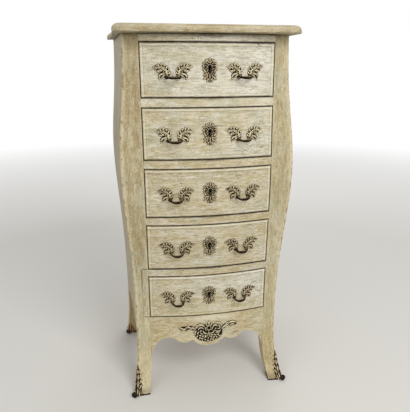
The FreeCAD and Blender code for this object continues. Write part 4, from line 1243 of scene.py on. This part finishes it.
def draw_escutcheon():
    """The keyhole plate: C-scrolls and leaves round the eye."""
    casting = Casting(-23.0, 23.0, -42.0, 28.0, 0.5)
    casting.plate(-1.0, 16.5, 16.5, 1.5, 8.0)
    casting.plate(-27.0, 11.0, 11.0, 1.4, 8.0)
    for hand in (-1, 1):
        casting.draw(KEY_PLATE_ROUND, hand)
        casting.draw(KEY_PLATE_TIPS, hand)
    casting.draw(KEY_PLATE_MIDDLE)
    casting.leaf(oval(-4.0, 8.2, 12.4, 25), [1.6], [4.2], lobes=9, lobe_depth=0.45)
    dish = casting.from_keyhole(5.9, 4.0, -8.0, 8.2)
    casting.height = np.where(dish < 0.0, np.minimum(casting.height, PIT_FLOOR), casting.height)
    hole = casting.from_keyhole(4.7, 2.9, -6.6, 6.8)
    casting.height = np.where(hole < 0.0, SINK, np.minimum(casting.height, SINK + 4.0 * hole))
    return casting


def draw_apron_mount():
    """A shell cartouche between two leafy sprays, the right one rising and the left one trailing."""
    casting = Casting(-101.0, 101.0, -44.0, 43.0, 0.62)
    casting.plate(-8.0, 48.0, 35.0, 1.6, 12.0)
    casting.plate(-25.0, 33.0, 16.5, 3.3, 5.0)
    for index, (u, v, wide) in enumerate(MOUNT_BEADS):
        turn = math.radians(67 * index)
        out = np.array([3.2 * math.cos(turn), 3.2 * math.sin(turn)])
        casting.leaf([(u, v) - out, (u, v), (u, v) + out], [wide * 0.7, wide, wide * 0.7], [4.4, 6.2, 4.2], 0.7)
    casting.draw(MOUNT_HEART)
    casting.leaf(oval(12.0, 6.6, 8.6, 21), [2.0], [5.2], lobes=7)
    casting.draw(MOUNT_CREST)
    for hand in (-1, 1):
        casting.draw(MOUNT_CREST_SIDES, hand)
    casting.draw(MOUNT_SPRAYS)
    return casting


def make_front_bronzes():
    """Pulls, escutcheons and the apron mount."""
    pull = draw_pull()
    plate = draw_escutcheon()
    for number in DRAWERS:
        body = f"drawer_{number}"
        shell = Shell()
        for side in (-1, 1):
            add_pull(shell, pull, number, side)
        put(shell, body + "_pulls_bronze", BRONZE if number < 3 else TARNISHED_BRONZE, body + "_handles", body)
        shell = Shell()
        place = on_front(0.0, opening_bottom(number) + KEYHOLE_RISE)
        plate.onto(shell, place, TARNISH[number], TARNISH[number])
        put(shell, body + "_plate_bronze", TARNISHED_BRONZE, body + "_escutcheon", body)
    low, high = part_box("apron_mount")
    shell = Shell()
    draw_apron_mount().onto(shell, on_front(0.0, (low.z + high.z) / 2.0), 0.80, 0.75)
    put(shell, "apron_shell_bronze", BRONZE, "apron_mount")


def outward(side, other):
    """Square to one side of a corner, away from the other side."""
    normal = np.array([-side[1], side[0]])
    return normal * -np.sign(normal @ other)


def leg_skin(leg):
    """A function that wraps (along, up, height) in mm round the outer corner of a leg."""
    def place(along, up, height):
        rows = []
        for row_along, row_up, row_height in zip(along[..., None], up, height[..., None]):
            z = row_up[0] * MM
            first, corner, second = post_corners(max(z, 0.0), *leg)[:3]
            before, after = unit(first - corner), unit(second - corner)
            turn = np.clip(0.5 + row_along / 12.0, 0.0, 1.0)
            turn = turn * turn * (3.0 - 2.0 * turn)
            normal = unit((1.0 - turn) * outward(before, after) + turn * outward(after, before))
            spot = corner + np.where(row_along < 0.0, -row_along * before, row_along * after) * MM
            rows.append(space(*(spot + normal * row_height * MM).T, z))
        return np.array(rows)
    return place


def draw_sabot(reaches, tall):
    """A sabot: columns of drops up the leg's corner, with curling lobes beside them."""
    casting = Casting(-reaches[0] - 1.0, reaches[1] + 1.0, 2.0, tall + 3.0, 0.62)
    casting.draw(SABOT_CORNER, 1.0, tall)
    for hand, reach in zip((-1, 1), reaches):
        casting.draw(SABOT_SIDES, hand, tall, 0.03 * hand)
        casting.leaf([(0, 4.2), (hand * reach, 4.2)], [2.6], [1.0], power=4.0)
    casting.draw(SABOT_SPINE, 1.0, tall)
    return casting


TOE_RADIUS = 7.9
TOE_HALF = 8.6
TOE_OUT = 2.4
TOE_EYE = 2.6


def add_toe(shell, corner, out):
    """The rolled leaf under a leg's corner: a barrel with grooves and an eye at each end."""
    sideways = np.array([-out[1], out[0]])
    heart = corner + out * TOE_OUT * MM
    angle = np.linspace(0.0, 2.0 * math.pi, 36, endpoint=False)
    rings, hollows = [], []
    for share in np.linspace(-1.0, 1.0, 33):
        groove = math.cos(share * 5.0 * math.pi)
        radius = TOE_RADIUS * (1.0 - 0.20 * share ** 4) - 0.45 * (1.0 + groove)
        if abs(share) > 0.93:
            radius *= 0.80
        ring = heart + sideways * share * TOE_HALF * MM + out * (np.cos(angle) * radius * MM)[:, None]
        rings.append(space(*ring.T, (TOE_RADIUS + np.sin(angle) * radius) * MM))
        # dark in the grooves; painted shade under the barrel and paler on top
        hollows.append(0.74 + 0.20 * groove - 0.20 * np.sin(angle))
    shell.loft(rings, 0.0, np.array(hollows), 0.0, 0.75)
    for side in (-1, 1):
        ball(shell, (*(heart + sideways * side * TOE_HALF * MM), TOE_RADIUS * MM), [TOE_EYE] * 3)


SABOT_REACH = 24.0  # mm to each side of the corner, at most
SOLE_PROFILE = ((0.4, 0.0), (1.5, 0.8), (1.6, 2.0), (1.5, 3.6), (0.0, 4.6))  # mm out and up


def make_sabots():
    """The four shoes: leaf, sole and a scroll at the toe."""
    for name, leg, tall, material in (("sabots_front", FRONT_LEG, 80.0, DARK_BRONZE),
                                      ("sabots_back", BACK_LEG, 46.0, RED_BRONZE)):
        shell = Shell()
        bottom = post_corners(SOLE, *leg)
        sides = bottom[[0, 2]] - bottom[1]
        reaches = [min(SABOT_REACH, np.linalg.norm(side) / MM - 2.0) for side in sides]
        draw_sabot(reaches, tall).onto(shell, leg_skin(leg))
        rings = []
        for grow, z in SOLE_PROFILE:
            ring = post_ring(bottom, [2.0 * MM] * 4, plain_runs)[0]
            ring = ring + unit(ring - bottom.mean(axis=0)) * grow * MM
            rings.append(space(*ring.T, z * MM))
        shell.loft(rings, 0.0, 0.5, 0.0, 0.6)
        add_toe(shell, bottom[1], unit(-unit(sides).sum(axis=0)))
        shell.mirror()
        put(shell, name + "_bronze", material, name)


# ---- light, floor and camera
FLOOR_RADIUS = 14.0
FLOOR_FADE = (1.6, 5.0)  # from pale to white
FILL_LIGHT = 0.50  # the white room's light on the chest
LAMPS = (("key", (1.05, -2.6, 2.7), 1.6, 58.0), ("fill", (-2.2, -1.9, 1.7), 2.0, 11.0),
         ("rear", (0.8, 2.6, 2.2), 2.0, 22.0))  # place, size and power
LAMP_AIM = (0.0, 0.0, 0.55)
CAMERA_PLACE = (-0.2271, -1.4180, 1.0438)
CAMERA_TURN = (90.0 - 17.736, 0.0, -9.703)
CAMERA_LENS = 38.35


def make_studio():
    """A pale floor that fades to white, plain soft light and the camera."""
    scene = bpy.context.scene
    scene.view_settings.view_transform = "Standard"

    ring = [(FLOOR_RADIUS * math.cos(turn), FLOOR_RADIUS * math.sin(turn), 0.0)
            for turn in np.linspace(0, 2 * math.pi, 97)[:-1]]
    mesh = bpy.data.meshes.new("floor")
    mesh.from_pydata(ring, [], [list(range(len(ring)))])
    link("floor", mesh)
    ground = Finish("pale_floor", 0.9, 0.1)
    grain = ground.noise(ground.place(), 90.0, 4.0, 0.6)
    ground.feed(ground.shader.inputs["Base Color"], ground.blend(grain, tone(222, 220, 214), tone(230, 228, 223)))
    away = ground.add("VectorMath", {0: ground.place()}, "Value", operation="LENGTH")
    fade = ground.times(ground.span(away, *FLOOR_FADE), ground.add("LightPath", {}, "Is Camera Ray"))
    white = ground.add("Emission", {"Color": (1.0, 1.0, 1.0, 1.0), "Strength": 1.0})
    surface = ground.add("MixShader", {0: fade, 1: ground.shader.outputs[0], 2: white})
    ground.feed(ground.tree.nodes["Material Output"].inputs["Surface"], surface)
    mesh.materials.append(ground.material)

    scene.world = bpy.data.worlds.new("studio")
    scene.world.use_nodes = True
    sky = Nodes(scene.world.node_tree)
    camera_ray, glossy_ray, clear_ray = (sky.add("LightPath", {}, f"Is {kind} Ray")
                                         for kind in ("Camera", "Glossy", "Transmission"))
    direct = sky.math("MAXIMUM", sky.math("MAXIMUM", camera_ray, glossy_ray), clear_ray)
    background = sky.tree.nodes["Background"]
    sky.feed(background.inputs["Strength"], sky.span(direct, 0.0, 1.0, FILL_LIGHT, 1.0))
    background.inputs["Color"].default_value = (1.0, 1.0, 1.0, 1.0)

    for name, place, size, power in LAMPS:
        lamp = bpy.data.lights.new(name, "AREA")
        lamp.size = size
        lamp.energy = power
        thing = link(name, lamp)
        thing.location = place
        thing.rotation_euler = (Vector(LAMP_AIM) - Vector(place)).to_track_quat("-Z", "Y").to_euler()

    lens = bpy.data.cameras.new("camera")
    lens.lens = CAMERA_LENS
    lens.sensor_width = 36.0
    camera = link("camera", lens)
    camera.location = CAMERA_PLACE
    camera.rotation_euler = [math.radians(angle) for angle in CAMERA_TURN]
    scene.camera = camera


make_studio()
both_hands(front_post, "front_post", UPRIGHT_PAINT)
both_hands(back_post, "back_post", UPRIGHT_PAINT)
both_hands(side_panel, "side_panel", SIDE_PAINT)
make_rails()
make_apron()
make_top()
make_drawers()
make_front_bronzes()
make_sabots()
make_back()
soften("bottom_board", WOOD_ALONG_X)
soften("drawer_runners", WOOD_ALONG_Y)
soften("drawer_stops", WOOD_ALONG_Y)
